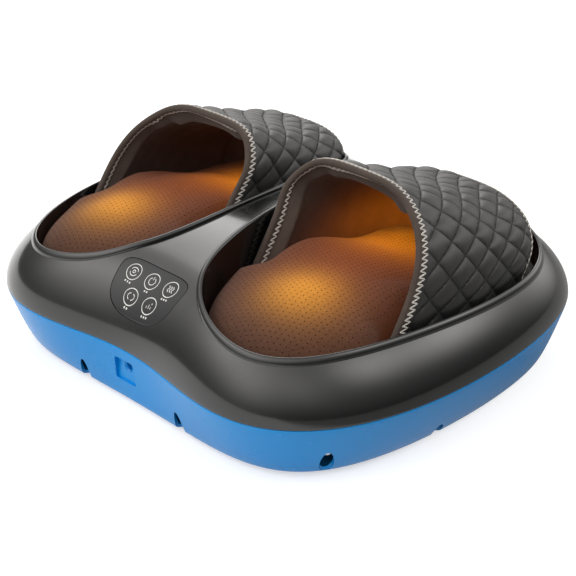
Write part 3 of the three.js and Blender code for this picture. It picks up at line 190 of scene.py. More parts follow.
def tidy(piece: Piece, sharp_degrees: float = 35, recalculate: bool = True) -> Piece:
    """Merges doubles, points the faces outwards and shades smoothly up to an angle.

    Args:
        piece: The object to finish.
        sharp_degrees: Edges that bend by more than this stay sharp.
        recalculate: Whether the face directions are worked out again.

    Returns:
        The same object.
    """
    work = bmesh.new()
    work.from_mesh(piece.data)
    bmesh.ops.remove_doubles(work, verts=work.verts, dist=2e-6)
    bmesh.ops.dissolve_degenerate(work, edges=work.edges, dist=1e-6)
    if recalculate:
        bmesh.ops.recalc_face_normals(work, faces=work.faces)
    work.to_mesh(piece.data)
    work.free()
    piece.data.shade_smooth()
    piece.data.set_sharp_from_angle(angle=math.radians(sharp_degrees))
    return piece


def bands(rows: int, width: int, wraps: bool, closes: bool) -> list:
    """Quads between rows of points.

    Args:
        rows: Count of rows.
        width: Points of each row.
        wraps: Whether each row joins its own start.
        closes: Whether the last row joins the first.

    Returns:
        Four point numbers for each face.
    """
    step = np.arange(width if wraps else width - 1)
    after = (step + 1) % width
    faces = []
    for band in range(rows if closes else rows - 1):
        low, high = band * width, (band + 1) % rows * width
        faces += np.column_stack([low + step, low + after, high + after, high + step]).tolist()
    return faces


def loft(name: str, rings: list, closes: bool = False, sharp_degrees: float = 35) -> Piece:
    """Skins rings of equal count.

    Args:
        name: Name of the new object.
        rings: Arrays of points in space, all of one length.
        closes: Whether the last ring joins the first.
        sharp_degrees: Edges that bend by more than this stay sharp.

    Returns:
        The skinned object, merged where rings fall together.
    """
    faces = bands(len(rings), len(rings[0]), True, closes)
    return tidy(new_object(name, np.concatenate(rings), faces), sharp_degrees)


def prism(name: str, plan: Array, low: float, high: float, axis: str = "Z") -> Piece:
    """A closed body with one outline between two levels.

    Args:
        name: Name of the new object.
        plan: The outline; its two values are X and Y, or X and Z.
        low: Level of the first end.
        high: Level of the other end.
        axis: Z, or Y for a body that lies along Y.

    Returns:
        The body.
    """
    middle = np.broadcast_to(plan.mean(0), plan.shape)
    rings = [ring(middle, low), ring(plan, low), ring(plan, high), ring(middle, high)]
    return loft(name, [points[:, (0, 2, 1)] for points in rings] if axis == "Y" else rings)


def lathe(name: str, profile: list, centre: tuple, sides: int = 48, axis: str = "Z") -> Piece:
    """Turns a profile about an axis.

    Args:
        name: Name of the new object.
        profile: Pairs of radius and height along the axis.
        centre: Where the axis starts, in metres.
        sides: Steps of the turn.
        axis: Z, or Y for a profile that points to the front.

    Returns:
        The turned object.
    """
    angle = np.arange(sides) * TAU / sides
    rings = []
    for radius, height in profile:
        points = np.column_stack([radius * np.cos(angle), radius * np.sin(angle), np.full(sides, height)])
        if axis == "Y":
            points = np.column_stack([points[:, 0], -points[:, 2], points[:, 1]])
        rings.append(points + np.array(centre))
    return loft(name, rings, sharp_degrees=30)


def evaluated_mesh(piece: Piece) -> bpy.types.Mesh:
    """The object's mesh with its modifiers applied."""
    depsgraph = bpy.context.evaluated_depsgraph_get()
    return bpy.data.meshes.new_from_object(piece.evaluated_get(depsgraph))


def apply_modifiers(piece: Piece) -> Piece:
    """Replaces an object's mesh by its evaluated one and drops the modifiers.

    Args:
        piece: The object.

    Returns:
        The same object.
    """
    made = evaluated_mesh(piece)
    piece.modifiers.clear()
    piece.data = made
    return piece


def cut(piece: Piece, cutters: list, sharp_degrees: float = 35) -> Piece:
    """Cuts closed bodies out of a piece and removes them.

    Args:
        piece: The closed object that is cut.
        cutters: Closed objects, cut one after another.
        sharp_degrees: Edges that bend by more than this stay sharp.

    Returns:
        The cut object.
    """
    for cutter in cutters:
        step = piece.modifiers.new("cut", "BOOLEAN")
        step.operation, step.solver, step.object = "DIFFERENCE", "EXACT", cutter
        apply_modifiers(piece)
        bpy.data.objects.remove(cutter)
    return tidy(piece, sharp_degrees, recalculate=False)


def join(name: str, parts: list) -> Piece:
    """Joins mesh objects into one with a new name.

    Args:
        name: Name of the whole.
        parts: The objects, which end in it.

    Returns:
        The whole.
    """
    work = bmesh.new()
    for part in parts:
        work.from_mesh(part.data)
    mesh = bpy.data.meshes.new(name)
    work.to_mesh(mesh)
    work.free()
    for part in parts:
        bpy.data.objects.remove(part)
    return linked(name, mesh)


def mirrored(piece: Piece, name: str) -> Piece:
    """A copy of a piece on the other side of the middle.

    Args:
        piece: A right-hand piece.
        name: Name of the copy.

    Returns:
        The left-hand copy.
    """
    mesh = piece.data.copy()
    mesh.transform(Matrix.Scale(-1, 4, (1, 0, 0)))
    mesh.flip_normals()
    return linked(name, mesh)


def subdivided(piece: Piece) -> Piece:
    """Applies one Catmull-Clark subdivision.

    Args:
        piece: The object.

    Returns:
        The same object.
    """
    step = piece.modifiers.new("rounding", "SUBSURF")
    step.levels = step.render_levels = 1
    return apply_modifiers(piece)


# Shader bench


def operation(name: str, reverse: bool = False) -> Callable:
    """A method that adds one Math node on its own field and the other values.

    Args:
        name: The Math node's operation.
        reverse: Whether the other value comes first.

    Returns:
        The method.
    """
    def method(self: "Field", *others: "float | Field") -> "Field":
        """The result as a new field."""
        values = [self, *others]
        return self.bench.math(name, *(reversed(values) if reverse else values))

    return method


class Field:
    """A shader socket that takes part in Python arithmetic."""

    def __init__(self, bench: "Bench", socket: Socket) -> None:
        """Wraps an output socket of a bench."""
        self.bench = bench
        self.socket = socket

    __add__ = __radd__ = operation("ADD")
    __sub__, __rsub__ = operation("SUBTRACT"), operation("SUBTRACT", reverse=True)
    __mul__ = __rmul__ = operation("MULTIPLY")
    __truediv__, __pow__ = operation("DIVIDE"), operation("POWER")
    sin, exp, abs = operation("SINE"), operation("EXPONENT"), operation("ABSOLUTE")

    def dome(self, middle: float, spread: float) -> "Field":
        """The squared distance from a middle, measured in spreads."""
        return ((self - middle) / spread) ** 2

    def clipped(self) -> "Field":
        """The value held between 0 and 1."""
        return self.bench.field("ShaderNodeClamp", "Result", {}, {"Value": self})


class Nodes:
    """A node tree and the one way to add a node to it."""

    tree: bpy.types.NodeTree

    def node(self, kind: str, settings: dict | None = None, inputs: dict | None = None) -> bpy.types.Node:
        """Adds one node.

        Args:
            kind: Blender's node type.
            settings: Properties, which are set first.
            inputs: Socket name or number to a field, a socket or a plain value.

        Returns:
            The new node.
        """
        made = self.tree.nodes.new(kind)
        for name, value in (settings or {}).items():
            setattr(made, name, value)
        for key, value in (inputs or {}).items():
            source = value.socket if isinstance(value, Field) else value
            if isinstance(source, Socket):
                self.tree.links.new(source, made.inputs[key])
            else:
                made.inputs[key].default_value = source
        return made


class Bench(Nodes):
    """Makes the nodes of one material."""

    def __init__(self, material: bpy.types.Material) -> None:
        """Empties the tree of a material or a world.

        Args:
            material: The material or world.
        """
        material.use_nodes = True
        self.tree = material.node_tree
        self.tree.nodes.clear()

    def field(self, kind: str, output: int | str, settings: dict, inputs: dict) -> Field:
        """Adds one node and wraps one of its outputs."""
        return Field(self, self.node(kind, settings, inputs).outputs[output])

    def math(self, operation: str, *values: float | Field) -> Field:
        """Adds a Math node on plain numbers and fields."""
        return self.field("ShaderNodeMath", 0, {"operation": operation}, dict(enumerate(values)))

    def place(self) -> Field:
        """The point on the object, in metres."""
        return self.field("ShaderNodeTexCoord", "Object", {}, {})

    def parts(self, vector: Field) -> tuple:
        """The three parts of a vector as fields."""
        split = self.node("ShaderNodeSeparateXYZ", {}, {"Vector": vector})
        return tuple(Field(self, socket) for socket in split.outputs)

    def axes(self) -> tuple:
        """The point's X, Y and Z as three fields."""
        return self.parts(self.place())

    def noise(self, size: float, detail: float = 3, rough: float = 0.55) -> Field:
        """Noise whose patches are about size metres across."""
        return self.field("ShaderNodeTexNoise", "Fac", {}, {
            "Vector": self.place(), "Scale": 1 / size, "Detail": detail, "Roughness": rough})

    def cells(self, size: float, feature: str = "F1") -> Field:
        """Distance in Voronoi cells of about size metres."""
        return self.field("ShaderNodeTexVoronoi", "Distance", {"feature": feature}, {
            "Vector": self.place(), "Scale": 1 / size})

    def mix(self, share: float | Field, first: tuple | Field, second: tuple | Field) -> Field:
        """Mixes two colours.

        Args:
            share: Share of the second colour.
            first: The colour at 0.
            second: The colour at 1.

        Returns:
            The mixed colour.
        """
        as_colour = lambda value: value if isinstance(value, Field) else (*value, 1)
        return self.field("ShaderNodeMix", 2, {"data_type": "RGBA"}, {
            0: share, 6: as_colour(first), 7: as_colour(second)})

    def add(self, first: Field, second: Field) -> Field:
        """Adds two colours."""
        return self.field("ShaderNodeMix", 2, {"data_type": "RGBA", "blend_type": "ADD"}, {
            0: 1.0, 6: first, 7: second})

    def glow(self, lamps: tuple, tone: Field, least: float, gain: float) -> tuple:
        """Light from lamps under cloth, the same on both sides of the middle; on the lining it is a painted
        glow.

        Args:
            lamps: Each lamp's centre, spread, colour and strength.
            tone: The cloth's tone, which the light follows.
            least: Share of the light where the tone is 0.
            gain: What a tone of 1 adds to that share.

        Returns:
            The colour of the light and the sum of the lamps' strengths.
        """
        x, y, z = self.axes()
        light = total = None
        for centre, spread, colour, strength in lamps:
            reach = None
            for axis, middle, wide in zip((x.abs(), y, z), centre, spread):
                away = axis.dome(middle, wide)
                reach = away if reach is None else reach + away
            fall = (reach * -1).exp() * strength
            lit = self.mix((fall * (tone * gain + least)).clipped(), (0, 0, 0), colour)
            light = lit if light is None else self.add(light, lit)
            total = fall if total is None else total + fall
        return light, total

    def bump(self, height: Field, depth: float, strength: float = 1.0) -> Field:
        """Turns a height of 0 to 1 into a normal; a height of 1 stands for depth metres."""
        return self.field("ShaderNodeBump", "Normal", {}, {
            "Height": height, "Distance": depth, "Strength": strength})

    def finish(self, sockets: dict) -> None:
        """Ends the tree in a Principled shader with these sockets."""
        surface = self.field("ShaderNodeBsdfPrincipled", "BSDF", {}, sockets)
        self.node("ShaderNodeOutputMaterial", {}, {"Surface": surface})


def linear(red: int, green: int, blue: int) -> tuple:
    """A colour on the 0 to 255 scale of a picture as linear light."""
    shares = (value / 255 for value in (red, green, blue))
    return tuple(s / 12.92 if s <= 0.04045 else ((s + 0.055) / 1.055) ** 2.4 for s in shares)


MADE: dict[str, bpy.types.Material] = {}


@dataclass(frozen=True)
class Finish:
    """One finish; material() builds it once and hands out the same material after that."""

    name: str
    colour: tuple
    roughness: float = 0.45

    def material(self) -> bpy.types.Material:
        """The finish as a material.

        Returns:
            The one material of this finish.
        """
        if self.name not in MADE:
            MADE[self.name] = bpy.data.materials.new(self.name)
            self.build(Bench(MADE[self.name]))
        return MADE[self.name]

    def shades(self, *factors: float) -> tuple:
        """The colour times each factor, never over white."""
        return tuple(tuple(min(1, part * factor) for part in self.colour) for factor in factors)

    def build(self, bench: Bench) -> None:
        """Wires the nodes; each kind of finish has its own."""
        raise NotImplementedError


@dataclass(frozen=True)
class MouldedPlastic(Finish):
    """Injection-moulded plastic with faint flow, handling marks and an orange-peel skin."""

    specular: float = 0.5
    coat: float = 0.0
    peel: float = 0.00002
    grain: float = 0.0
    lift: float = 0.12

    def build(self, bench: Bench) -> None:
        """Colour drifts a little, and roughness follows smears.

        Args:
            bench: Where its nodes are made.
        """
        flow = bench.noise(0.09, 2)
        smear = bench.noise(0.018, 5, 0.65)
        fine = bench.noise(0.0016, 2)
        brighter = tuple(min(1, c * (1 + self.lift) + 0.002) for c in self.colour)
        darker = tuple(c * (1 - self.lift) for c in self.colour)
        dust = ((smear - 0.62) * 6).clipped() * 0.05
        rough = (self.roughness + (smear - 0.5) * 0.1 + dust).clipped()
        height = fine * (1 - self.grain) + bench.cells(0.0009) * self.grain
        bench.finish({
            "Base Color": bench.mix(flow, darker, brighter),
            "Roughness": rough,
            "Specular IOR Level": self.specular,
            "Coat Weight": self.coat,
            "Coat Roughness": 0.08,
            "Normal": bench.bump(height, self.peel),
        })


@dataclass(frozen=True)
class GlowingKnit(Finish):
    """Perforated knit over foam, lit from below where the lamps under it stand."""

    glows: tuple = ()
    rib: float = 0.0011
    # Painted glow: near the lamps the base colour turns towards this orange, up to this share.
    painted_glow_tint: tuple = (0.55, linear(84, 40, 4))

    def build(self, bench: Bench) -> None:
        """Knit loops, pilling, the lamps' light through the cloth, and a painted glow tint in the base colour
        near the lamps.

        Args:
            bench: Where its nodes are made.
        """
        x, y, _ = bench.axes()
        turn = TAU / self.rib
        loops = (x.abs() * turn).sin() * (y * turn).sin() * 0.5 + 0.5
        fuzz = ((bench.noise(0.0014, 4, 0.75) - 0.5) * 1.9 + 0.5).clipped()
        tone = (loops * 0.3 + fuzz * 0.5 + bench.noise(0.03, 3) * 0.2).clipped()
        light, total = bench.glow(self.glows, tone, 0.35, 1.3)
        # Painted glow: the base colour is tinted orange where the lamps shine.
        share, painted_glow_tint = self.painted_glow_tint
        height = loops * 0.6 + fuzz * 0.4
        bench.finish({
            "Base Color": bench.mix((total * share).clipped(), bench.mix(tone, *self.shades(0.3, 1.8)), painted_glow_tint),
            "Roughness": (self.roughness + fuzz * 0.1).clipped(),
            "Specular IOR Level": 0.12,
            "Sheen Weight": 0.06,
            "Sheen Roughness": 0.5,
            "Emission Color": light,
            "Emission Strength": 1.0,
            "Normal": bench.bump(height, 0.00022, 0.8),
        })


@dataclass(frozen=True)
class GrainedLeather(Finish):
    """Imitation leather with pebble grain, creases and a worn sheen on what stands proud."""

    seam: float = 0.034
    # Painted shade: under this height, over this reach, the leather darkens towards this colour.
    painted_shade_below: float = 0.12
    painted_shade_reach: float = 0.042
    painted_shade_colour: tuple = (0.004, 0.004, 0.004)
    needle_colour: tuple = (0.0025, 0.0025, 0.0025)

    def build(self, bench: Bench) -> None:
        """Pebbles, creases, drifting gloss, dark needle lines along the quilt attribute's seams, a band of
        painted shade round each seam, and painted shade towards the low edge.

        Args:
            bench: Where its nodes are made.
        """
        quilt = bench.field("ShaderNodeAttribute", "Vector", {"attribute_name": "quilt"}, {})
        one, other, sewn = bench.parts(quilt)
        near = bench.math("MINIMUM", bench.math("PINGPONG", one, 0.5), bench.math("PINGPONG", other, 0.5))
        # needle is the seam's own dark line; shade is a wider band of painted shade in the seam valley.
        needle, shade = ((((near / wide) ** 2) * -1).exp() * sewn for wide in (self.seam, self.seam * 4))
        pebble = bench.cells(0.0011)
        crease = bench.cells(0.0042, "DISTANCE_TO_EDGE")
        drift = bench.noise(0.022, 4)
        fine = bench.noise(0.0007, 2)
        valley = (1 - (crease * 9).clipped()) * 0.35
        height = (1 - pebble) * 0.6 + fine * 0.25 - valley * 0.5
        tone = (drift * 0.6 + pebble * 0.25 + fine * 0.15).clipped()
        *_, z = bench.axes()
        # Painted shade: the leather darkens towards the low edge of the cover.
        painted_shade = ((self.painted_shade_below - z) / self.painted_shade_reach).clipped() * 0.75
        skin = bench.mix(painted_shade, bench.mix(tone, *self.shades(0.55, 1.5)), self.painted_shade_colour)
        bench.finish({
            "Base Color": bench.mix((needle * 0.9 + shade * 0.3).clipped(), skin, self.needle_colour),
            "Roughness": (self.roughness + (drift - 0.5) * 0.2 + needle * 0.3).clipped(),
            "Specular IOR Level": 0.5,
            "Normal": bench.bump(height, 0.0001, 0.5),
        })


@dataclass(frozen=True)
class BrushedPile(Finish):
    """Microfibre whose nap lies in patches, with a painted glow where the lamps under the toes shine on it.
    """

    glows: tuple = ()

    def build(self, bench: Bench) -> None:
        """Nap patches, short fibres and a painted glow of the lamps' light.

        Args:
            bench: Where its nodes are made.
        """
        nap = bench.noise(0.011, 4, 0.6)
        fibre = bench.noise(0.0008, 3, 0.7)
        tone = (nap * 0.6 + fibre * 0.4).clipped()
        # Painted glow: emission on the lining stands in for the lamps' light falling on it.
        light, _ = bench.glow(self.glows, tone, 0.7, 0.6)
        bench.finish({
            "Base Color": bench.mix(tone, *self.shades(0.6, 1.5)),
            "Roughness": (self.roughness - nap * 0.08).clipped(),
            "Specular IOR Level": 0.15,
            "Sheen Weight": 0.12,
            "Sheen Roughness": 0.5,
            "Emission Color": light,
            "Emission Strength": 1.0,
            "Normal": bench.bump(fibre * 0.7 + nap * 0.3, 0.00035),
        })


@dataclass(frozen=True)
class TwistedThread(Finish):
    """Sewing thread with a ply twist."""

    def build(self, bench: Bench) -> None:
        """Diagonal plies across the thread.

        Args:
            bench: Where its nodes are made.
        """
        x, y, z = bench.axes()
        ply = ((x + y + z * 2) * (TAU / 0.0008)).sin() * 0.5 + 0.5
        dirt = bench.noise(0.006, 3)
        bench.finish({
            "Base Color": bench.mix((ply * 0.5 + dirt * 0.5).clipped(), *self.shades(0.68, 1.12)),
            "Roughness": (self.roughness + dirt * 0.1).clipped(),
            "Sheen Weight": 0.3,
            "Normal": bench.bump(ply, 0.00012, 0.6),
        })


@dataclass(frozen=True)
class TurnedMetal(Finish):
    """Machined or plated metal with fine marks and a little tarnish."""

    def build(self, bench: Bench) -> None:
        """Turning marks along the height and patches of tarnish.

        Args:
            bench: Where its nodes are made.
        """
        x, y, z = bench.axes()
        marks = bench.field("ShaderNodeTexNoise", "Fac", {}, {
            "Vector": bench.field("ShaderNodeCombineXYZ", 0, {}, {0: x * 0.1, 1: y * 0.1, 2: z}),
            "Scale": 4000.0, "Detail": 2.0})
        tarnish = bench.noise(0.008, 4)
        bench.finish({
            "Base Color": bench.mix(tarnish, *self.shades(0.75, 1.08)),
            "Metallic": 1.0,
            "Roughness": (self.roughness + tarnish * 0.15 + marks * 0.1).clipped(),
            "Normal": bench.bump(marks, 0.00003, 0.6),
        })


@dataclass(frozen=True)
class CircuitBoard(Finish):
    """Solder mask with traces under it."""

    def build(self, bench: Bench) -> None:
        """Straight traces on a fine grid.

        Args:
            bench: Where its nodes are made.
        """
        x, y, _ = bench.axes()
        lanes = ((x * (TAU / 0.003)).sin() * (y * (TAU / 0.0052)).sin() * 6).clipped()
        mask = bench.noise(0.004, 2)
        traced = tuple(min(1, c * 1.7 + 0.01) for c in self.colour)
        bench.finish({
            "Base Color": bench.mix(lanes * 0.7 + mask * 0.2, self.colour, traced),
            "Roughness": (self.roughness + mask * 0.15).clipped(),
            "Normal": bench.bump(lanes, 0.00003),
        })


class Look:
    """The finishes of this object."""

    BLUE = MouldedPlastic("blue_gloss_plastic", linear(2, 146, 224), 0.25, 0.35, lift=0.05)
    BLACK = MouldedPlastic("black_gloss_plastic", linear(17, 17, 17), 0.2, 0.5, coat=0.5, peel=0.000008)
    PANEL = MouldedPlastic("touch_overlay", linear(38, 38, 39), 0.3, 0.4, peel=0.00002, grain=0.6)
    INK = MouldedPlastic("printed_ink", linear(225, 225, 222), 0.5)
    SATIN = MouldedPlastic("satin_black_plastic", linear(30, 30, 31), 0.5, grain=0.7, peel=0.00008)
    GEARS = MouldedPlastic("acetal_gears", linear(222, 219, 208), 0.5)
    WHITE = MouldedPlastic("white_moulding", linear(228, 228, 222), 0.5, grain=0.4)
    FILM = MouldedPlastic("soft_film", linear(140, 144, 150), 0.4, peel=0.0002)
    RUBBER = MouldedPlastic("moulded_rubber", linear(20, 20, 20), 0.85, 0.3, grain=0.8, peel=0.0001)
    # Painted shade: the perforations are dark shallow discs standing in for the shade inside the holes.
    PIT = MouldedPlastic("perforation_shadow", linear(26, 14, 10), 1.0, 0.0)
    LEATHER = GrainedLeather("grained_leather", linear(54, 53, 52), 0.46)
    # The lining's glows are painted light: orange emission where the pads' lamps shine on it.
    PILE = BrushedPile("brushed_lining", linear(76, 66, 60), 0.9, glows=(
        ((0.070, 0.070, 0.088), (0.036, 0.05, 0.022), linear(178, 92, 4), 1.0),
        ((0.076, 0.060, 0.094), (0.046, 0.07, 0.026), linear(90, 22, 2), 0.55),
    ))
    BLACK_THREAD = TwistedThread("black_thread", linear(18, 18, 18), 0.7)
    PALE_THREAD = TwistedThread("pale_thread", linear(214, 208, 200), 0.75)
    STEEL = TurnedMetal("turned_steel", linear(190, 192, 196), 0.3)
    BRASS = TurnedMetal("sintered_brass", linear(176, 141, 74), 0.4)
    CIRCUIT = CircuitBoard("circuit_board", linear(24, 92, 50), 0.4)
    KNIT = GlowingKnit("perforated_knit", linear(74, 52, 44), 0.85, glows=(
        ((0.097, -0.079), (0.026, 0.026), linear(200, 140, 46), 0.95),
        ((0.095, -0.060), (0.044, 0.044), linear(112, 52, 20), 0.6),
        ((0.074, 0.042), (0.034, 0.038), linear(186, 106, 6), 0.95),
        ((0.082, 0.012), (0.050, 0.056), linear(136, 60, 10), 0.62),
    ))


def place(piece: Piece, body: str, slot: str, finish: Finish, nodes: tuple = (),
          fill: float | None = None) -> Piece:
    """Args:
        piece: The finished object.
        body: The body that it rides on.
        slot: Not used.
        finish: Its finish.
        nodes: The nodes that it stands for.
        fill: Not used.

    Returns:
        The same object.
    """
    piece.data.materials.clear()
    piece.data.materials.append(finish.material())
    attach(piece, body)
    if nodes:
        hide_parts(*nodes)
    log.info("%s: %d faces on %s", piece.name, len(piece.data.polygons), body)
    return piece


def place_pair(piece: Piece, stem: str, slot: str, finish: Finish, nodes: tuple = (),
               fill: float | None = None) -> None:
    """Places a right-hand piece and its mirror image, both on the case.

    Args:
        piece: The right-hand object.
        stem: Name of the pair without its side.
        slot: Not used; it is only passed on to place.
        finish: The finish of both.
        nodes: Stems of the nodes that they stand for.
        fill: Not used; it is only passed on to place.
    """
    other = mirrored(piece, f"{stem}_left")
    piece.name = f"{stem}_right"
    for made, (side, _) in zip((piece, other), SIDES):
        place(made, "case", slot, finish, tuple(f"{node}_{side}" for node in nodes), fill)


# Geometry Nodes trees


class NodeTree(Nodes):
    """A Geometry Nodes tree with named inputs that runs once on a mesh."""

    def __init__(self, name: str) -> None:
        """Starts a tree with one mesh coming in and one going out.

        Args:
            name: Name of the tree.
        """
        self.tree = bpy.data.node_groups.new(name, "GeometryNodeTree")
        self.tree.interface.new_socket("Mesh", in_out="INPUT", socket_type="NodeSocketGeometry")
        self.tree.interface.new_socket("Mesh", in_out="OUTPUT", socket_type="NodeSocketGeometry")
        self.entry = self.tree.nodes.new("NodeGroupInput")
        self.leave = self.tree.nodes.new("NodeGroupOutput")
        self.identifiers = {}

    def number(self, name: str, value: float) -> Socket:
        """Adds a named number input and returns its socket.

        Args:
            name: Name of the input.
            value: Its value where a run gives none.

        Returns:
            The socket.
        """
        item = self.tree.interface.new_socket(name, in_out="INPUT", socket_type="NodeSocketFloat")
        item.default_value = value
        self.identifiers[name] = item.identifier
        return self.entry.outputs[name]

    def math(self, operation: str, first: Number, second: Number = 0.0) -> Socket:
        """Adds a Math node and returns its result."""
        return self.node("ShaderNodeMath", {"operation": operation}, {0: first, 1: second}).outputs[0]

    def vector(self, x: Number = 0.0, y: Number = 0.0, z: Number = 0.0) -> Socket:
        """A vector of three numbers or sockets."""
        return self.node("ShaderNodeCombineXYZ", {}, {0: x, 1: y, 2: z}).outputs[0]

    def named(self, name: str, kind: str = "FLOAT_VECTOR") -> Socket:
        """Reads a named attribute."""
        return self.node("GeometryNodeInputNamedAttribute", {"data_type": kind}, {"Name": name}).outputs[0]

    def stored(self, geometry: Socket, name: str, kind: str, value: Number) -> Socket:
        """Keeps a value as a named attribute of a geometry."""
        return self.node("GeometryNodeStoreNamedAttribute", {"data_type": kind}, {
            "Geometry": geometry, "Name": name, "Value": value}).outputs[0]

    def moved(self, geometry: Socket, height: Number) -> Socket:
        """Moves a geometry straight up."""
        return self.node("GeometryNodeTransform", {}, {
            "Geometry": geometry, "Translation": self.vector(z=height)}).outputs[0]

    def turned(self, way: Socket) -> Socket:
        """The rotation that lays the Z axis along a vector."""
        return self.node("FunctionNodeAlignRotationToVector", {"axis": "Z"}, {"Vector": way}).outputs[0]

    def end(self, finish: Finish, inputs: dict) -> None:
        """Ends the tree in Instance on Points, Realize Instances and Set Material.

        Args:
            finish: The finish of what is laid.
            inputs: Sockets of the Instance on Points node.
        """
        laid = self.node("GeometryNodeInstanceOnPoints", {}, inputs)
        real = self.node("GeometryNodeRealizeInstances", {}, {"Geometry": laid.outputs[0]})
        dressed = self.node("GeometryNodeSetMaterial", {}, {
            "Geometry": real.outputs[0], "Material": finish.material()})
        self.tree.links.new(dressed.outputs[0], self.leave.inputs[0])

    def run(self, name: str, source: bpy.types.Mesh, values: dict) -> Piece:
        """Runs the tree on a mesh.

        Args:
            name: Name of the new object.
            source: The mesh that comes in.
            values: Named inputs for this run.

        Returns:
            A plain mesh object.
        """
        made = linked(name, source)
        step = made.modifiers.new("tree", "NODES")
        step.node_group = self.tree
        for key, value in values.items():
            step[self.identifiers[key]] = value
        apply_modifiers(made)
        made.data.shade_smooth()
        return made


def point_cloud(points: Array, vectors: dict) -> bpy.types.Mesh:
    """A mesh of bare points that carries named vectors.

    Args:
        points: The points.
        vectors: Attribute name to one vector for each point.

    Returns:
        The mesh.
    """
    mesh = bpy.data.meshes.new("points")
    mesh.from_pydata(np.asarray(points).tolist(), [], [])
    for name, values in vectors.items():
        store_vectors(mesh, name, values)
    return mesh


class StitchTree(NodeTree):
    """Lays one rounded stitch on each point, along the vector that the point carries."""

    def __init__(self, name: str, finish: Finish) -> None:
        """Builds the tree for one thread.

        Args:
            name: Name of the tree.
            finish: The thread's finish.
        """
        super().__init__(name)
        thick = self.number("Thread radius", 0.0004)
        bead = self.node("GeometryNodeMeshUVSphere", {}, {"Segments": 6, "Rings": 5, "Radius": 1.0})
        along = self.named("along")
        length = self.node("ShaderNodeVectorMath", {"operation": "LENGTH"}, {0: along})
        wobble = self.node("FunctionNodeRandomValue", {"data_type": "FLOAT"}, {2: 0.85, 3: 1.15, "Seed": 7})
        wide = self.math("MULTIPLY", thick, wobble.outputs[1])
        half = self.math("MULTIPLY", length.outputs["Value"], 0.5)
        self.end(finish, {
            "Points": self.entry.outputs["Mesh"], "Instance": bead.outputs["Mesh"],
            "Rotation": self.turned(along), "Scale": self.vector(wide, wide, half)})


class PerforationTree(NodeTree):
    """Drops a staggered grid of shallow pits onto a pad; their dark colour is painted shade of the holes."""

    def __init__(self, finish: Finish) -> None:
        """Builds the tree.

        Args:
            finish: The pits' finish.
        """
        super().__init__("perforations")
        pitch = self.number("Pitch", 0.0045)
        radius = self.number("Hole radius", 0.00055)
        width, depth = self.number("Width", 0.14), self.number("Depth", 0.27)
        middle_x, middle_y = self.number("Middle X", 0.09), self.number("Middle Y", -0.01)
        steepest = self.number("Least upward share", 0.3)
        columns = self.math("FLOOR", self.math("DIVIDE", width, pitch))
        rows = self.math("FLOOR", self.math("DIVIDE", depth, pitch))
        grid = self.node("GeometryNodeMeshGrid", {}, {
            "Size X": width, "Size Y": depth, "Vertices X": columns, "Vertices Y": rows})
        index = self.node("GeometryNodeInputIndex").outputs[0]
        column = self.math("FLOOR", self.math("DIVIDE", index, rows))
        shift = self.math("MULTIPLY", self.math("MODULO", column, 2.0), self.math("MULTIPLY", pitch, 0.5))
        start = self.vector(middle_x, self.math("ADD", middle_y, shift), 0.2)
        lifted = self.node("GeometryNodeSetPosition", {}, {"Geometry": grid.outputs["Mesh"], "Offset": start})
        ray = self.node("GeometryNodeRaycast", {}, {
            "Target Geometry": self.entry.outputs["Mesh"], "Ray Direction": (0, 0, -1), "Ray Length": 1.0})
        kept = self.stored(lifted.outputs[0], "facing", "FLOAT_VECTOR", ray.outputs["Hit Normal"])
        kept = self.stored(kept, "hit", "BOOLEAN", ray.outputs["Is Hit"])
        dropped = self.node("GeometryNodeSetPosition", {}, {
            "Geometry": kept, "Position": ray.outputs["Hit Position"]})
        facing = self.named("facing")
        split = self.node("ShaderNodeSeparateXYZ", {}, {0: facing})
        up = self.math("GREATER_THAN", split.outputs[2], steepest)
        pit = self.node("GeometryNodeMeshIcoSphere", {}, {"Radius": 1.0, "Subdivisions": 1})
        self.end(finish, {
            "Points": dropped.outputs[0],
            "Selection": self.math("MULTIPLY", up, self.named("hit", "BOOLEAN")),
            "Instance": pit.outputs["Mesh"], "Rotation": self.turned(facing),
            "Scale": self.vector(radius, radius, self.math("MULTIPLY", radius, 0.18))})


